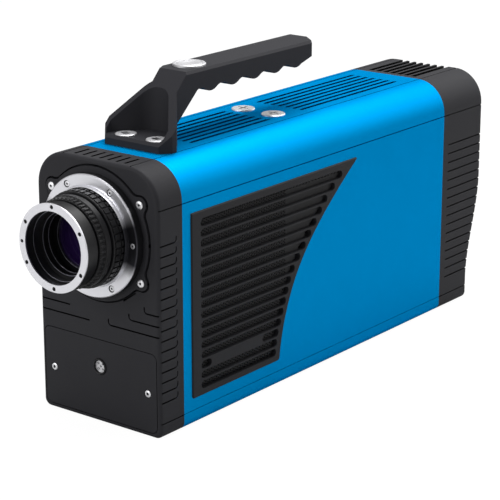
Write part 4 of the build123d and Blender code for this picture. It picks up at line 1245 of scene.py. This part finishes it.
@dataclass
class Fan:
    """Axial fan rotor with swept, twisted blades."""

    blades: int = 7
    sweep: float = 22.0
    root_pitch: float = 52.0
    tip_pitch: float = 34.0
    chord: float = 19.0
    sections: int = 7
    hub: float = 18.0
    shaft: float = 1.5

    def build(self) -> None:
        """Makes the hub and the blades as one piece on the fan body."""
        box = extent("fan_rotor")
        centre = tuple(box.middle)
        tip = box.size.x / 2 - 0.2
        hub, shaft = self.hub, self.shaft
        rear = box.high.y
        front = box.low.y
        cup = rear - 1.6
        shape = Shape()
        shape.turn([(0.0, front + 3.0), (shaft, front + 3.0), (hub - 2.0, front + 3.0), (hub - 2.0, cup),
                    (hub - 0.3, cup), (hub, cup - 0.4), (hub, front + 0.8), (hub - 0.8, front), (0.0, front)],
                   centre, steps=72, closed=False)
        shape.turn([(shaft, front + 2.9), (shaft, rear), (0.0, rear)], centre, steps=24, closed=False)
        for index in range(self.blades):
            self.blade(shape, centre, 2 * math.pi * index / self.blades, (hub - 0.4, tip), (front, cup))
        shape.become("fan_rotor_swept", "socket_black", "fan", ["fan_rotor"], smooth=40.0)

    def blade(self, shape: Shape, centre: Point, start: float, radii: Ring, stations: Ring) -> None:
        """One blade as a skin through aerofoil sections.

        Args:
            shape: the mesh to add to.
            centre: the fan's centre.
            start: the blade's angle.
            radii: hub and tip radius.
            stations: limits along the axis.
        """
        middle = (stations[0] + stations[1]) / 2
        room = (stations[1] - stations[0]) / 2 - 0.2
        loops = []
        for step in range(self.sections):
            share = step / (self.sections - 1)
            radius = radii[0] + share * (radii[1] - radii[0])
            pitch = math.radians(self.root_pitch + share * (self.tip_pitch - self.root_pitch))
            turn = start + math.radians(self.sweep) * share
            loop = []
            for along, thick in ((-0.5, 0.0), (-0.25, 0.55), (0.0, 0.8), (0.3, 0.6), (0.5, 0.0), (0.3, -0.4),
                                 (0.0, -0.6), (-0.25, -0.45)):
                chord = along * self.chord
                y = chord * math.sin(pitch) + thick * math.cos(pitch)
                arc = chord * math.cos(pitch) - thick * math.sin(pitch)
                station = middle + max(-room, min(room, y))
                loop.append(Axis.ALONG.point(centre, radius, turn + arc / radius, station))
            loops.append(loop)
        shape.loft(loops)


@dataclass
class StatusLight:
    """Small domed light beside the power switch."""

    dome: float = 0.7

    def build(self) -> None:
        """Makes the domed lens."""
        box = extent("status_light")
        radius = box.size.x / 2
        rear, front = box.low.y, box.high.y
        outline = [(0.0, rear), (radius, rear), (radius, front - self.dome)]
        outline += [(radius * math.cos(a), front - self.dome + self.dome * math.sin(a))
                    for a in (math.pi / 8, math.pi / 4, 3 * math.pi / 8)]
        shape = Shape()
        shape.turn(outline + [(0.0, front)], tuple(box.middle), steps=32, closed=False)
        shape.become("status_dome", "status_green", "camera", ["status_light"])


# ---------------------------------------------------------------- frame finish and studio
class FrameDress:
    """Gives every shown CAD node the finish of its record slot."""

    def build(self) -> None:
        """Fills the material slots of the CAD nodes."""
        for entry in frame["record"]["subparts"]:
            node = frame["nodes"][entry["node"]]
            finish = SHOP.finish(entry["material_slot"])
            for slot in node.material_slots:
                slot.material = finish
            if not node.material_slots:
                node.data.materials.append(finish)
            log.info("%s wears %s", entry["node"], finish.name)


@dataclass
class Studio:
    """Camera, pale floor, lamps and white surroundings."""

    eye: Point = (900.8, -1164.6, 542.5)
    azimuth: float = 37.96
    elevation: float = 17.16
    focal: float = 137.63
    fill: float = 0.62

    def build(self) -> None:
        """Makes the whole stage."""
        self.camera()
        self.floor()
        self.world()
        self.lamps()
        bpy.context.scene.view_settings.view_transform = "Standard"

    def camera(self) -> None:
        """Camera at its surveyed place."""
        data = bpy.data.cameras.new("camera")
        data.lens = self.focal
        data.sensor_width = 36.0
        data.clip_start = 0.05
        data.clip_end = 50.0
        eye = bpy.data.objects.new("camera", data)
        azimuth = math.radians(self.azimuth)
        elevation = math.radians(self.elevation)
        back = Vector((math.sin(azimuth) * math.cos(elevation), -math.cos(azimuth) * math.cos(elevation),
                       math.sin(elevation)))
        self.stand(eye, Vector(self.eye) * MM, -back)
        bpy.context.scene.camera = eye

    def stand(self, thing: bpy.types.Object, place: Vector, way: Vector) -> None:
        """Puts a camera or a lamp at a place, in metres, looking one way."""
        thing.location = place
        thing.rotation_mode = "QUATERNION"
        thing.rotation_quaternion = way.to_track_quat("-Z", "Y")
        bpy.context.scene.collection.objects.link(thing)

    def floor(self) -> None:
        """Large pale floor that shows white to the camera and keeps a faint shadow."""
        shape = bmesh.new()
        bmesh.ops.create_grid(shape, x_segments=1, y_segments=1, size=6.0)
        mesh = bpy.data.meshes.new("floor")
        shape.to_mesh(mesh)
        shape.free()
        floor = bpy.data.objects.new("floor", mesh)
        floor.location.z = -0.0002
        bpy.context.scene.collection.objects.link(floor)
        graph = Graph(bpy.data.materials.new("pale_floor"))
        paper = graph.noise(graph.place(), 3.0)
        pale = graph.add("BsdfDiffuse", {}, {"Color": graph.tint(paper, (0.52, 0.52, 0.52),
                (0.54, 0.54, 0.54))})
        white = graph.add("Emission", {}, {"Color": (1.0, 1.0, 1.0, 1.0), "Strength": 1.07})
        seen = graph.add("LightPath", {}, {}, "Is Camera Ray") * 0.90
        shown = graph.add("MixShader", {}, {0: seen, 1: pale, 2: white})
        under = graph.add("NewGeometry", {}, {}, "Backfacing")
        clear = graph.add("BsdfTransparent", {}, {})
        graph.add_output(graph.add("MixShader", {}, {0: under, 1: shown, 2: clear}))
        mesh.materials.append(graph.owner)

    def world(self) -> None:
        """Soft white surroundings, pure white where they are seen directly or through glass."""
        world = bpy.data.worlds.new("surroundings")
        bpy.context.scene.world = world
        graph = Graph(world)
        seen = graph.add("LightPath", {}, {}, "Is Camera Ray")
        passed = graph.add("LightPath", {}, {}, "Is Transmission Ray")
        range_of = {"Value": seen.math("MAXIMUM", seen, passed), "To Min": self.fill, "To Max": 1.0}
        level = graph.add("MapRange", {}, range_of)
        white = graph.add("Background", {}, {"Color": (1.0, 1.0, 1.0, 1.0), "Strength": level})
        graph.add_output(white, "World")

    def lamp(self, name: str, place: Point, aim: Point, size: float, power: float) -> None:
        """One soft square lamp.

        Args:
            name: its name.
            place: where it is, in metres.
            aim: what it points at, in metres.
            size: its width in metres.
            power: its power in watts.
        """
        data = bpy.data.lights.new(name, "AREA")
        data.size = size
        data.energy = power
        self.stand(bpy.data.objects.new(name, data), Vector(place), Vector(aim) - Vector(place))

    def lamps(self) -> None:
        """Key from above, side fill and a front fill."""
        self.lamp("top_key", (0.0, 0.25, 1.5), (0.0, 0.0, 0.1), 1.1, 30.0)
        self.lamp("back_strip", (0.45, 1.30, 1.15), (0.0, 0.05, 0.15), 1.7, 19.0)
        self.lamp("side_fill", (1.7, 0.5, 0.6), (0.0, 0.0, 0.1), 1.2, 2.0)
        self.lamp("front_fill", (-0.6, -1.7, 0.7), (0.0, -0.1, 0.1), 1.0, 18.0)


def fasteners() -> list[ScrewSet]:
    """Every set of screws that shows."""
    return [
        ScrewSet("lens_flange_screws", "flange_screw_heads", head_depth=1.0, dome=0.3, rim=0.35,
                 drive_depth=0.45,
                 drive_size=0.36),
        ScrewSet("mount_ring_screws", "mount_screw_heads", head_depth=0.6, dome=0.05, rim=0.2,
                 drive=Drive.TORX,
                 drive_size=0.46, drive_depth=0.4, well=0.58),
        ScrewSet("front_ring_screws", "lens_seat_screws", "screw_black", "front_tube", head_depth=0.5,
                 dome=0.05,
                 rim=0.1, drive=Drive.CROSS, drive_size=0.55, drive_depth=0.3, steps=32),
        ScrewSet("handle_screws", "handle_screw_heads", axis=Axis.UP, facing=1, head_depth=1.3, dome=0.2,
                 rim=0.5,
                 drive_size=0.5, drive_depth=0.9),
        ScrewSet("spare_screws", "cover_screw_heads", axis=Axis.UP, facing=1, head_depth=1.6, dome=0.3,
                 rim=0.5,
                 drive=Drive.CROSS, drive_size=0.55, drive_depth=1.0),
        ScrewSet("lens_control_screws", "control_screw_heads", head_depth=1.4, dome=0.15, rim=0.3,
                 drive=Drive.TORX,
                 drive_size=0.5, drive_depth=0.8),
        ScrewSet("rear_panel_screws", "panel_screw_heads", facing=1, head_depth=1.6, dome=0.4, rim=0.4,
                 drive=Drive.HEX, drive_size=0.5, drive_depth=0.7),
    ]


def main() -> None:
    """Builds every piece in order."""
    logging.basicConfig(level=logging.INFO, format="%(message)s")
    FrameDress().build()
    Studio().build()
    for screws in fasteners():
        screws.build()
    makers = [LensMount(), PaintedThroatHighlights(), PerforatedSheet(1), PerforatedSheet(-1), ControlSocket(),
              HandleCap(), RearSockets(), PowerSwitch(), Fan(), StatusLight()]
    for maker in makers:
        maker.build()


if __name__ == "__main__":
    main()
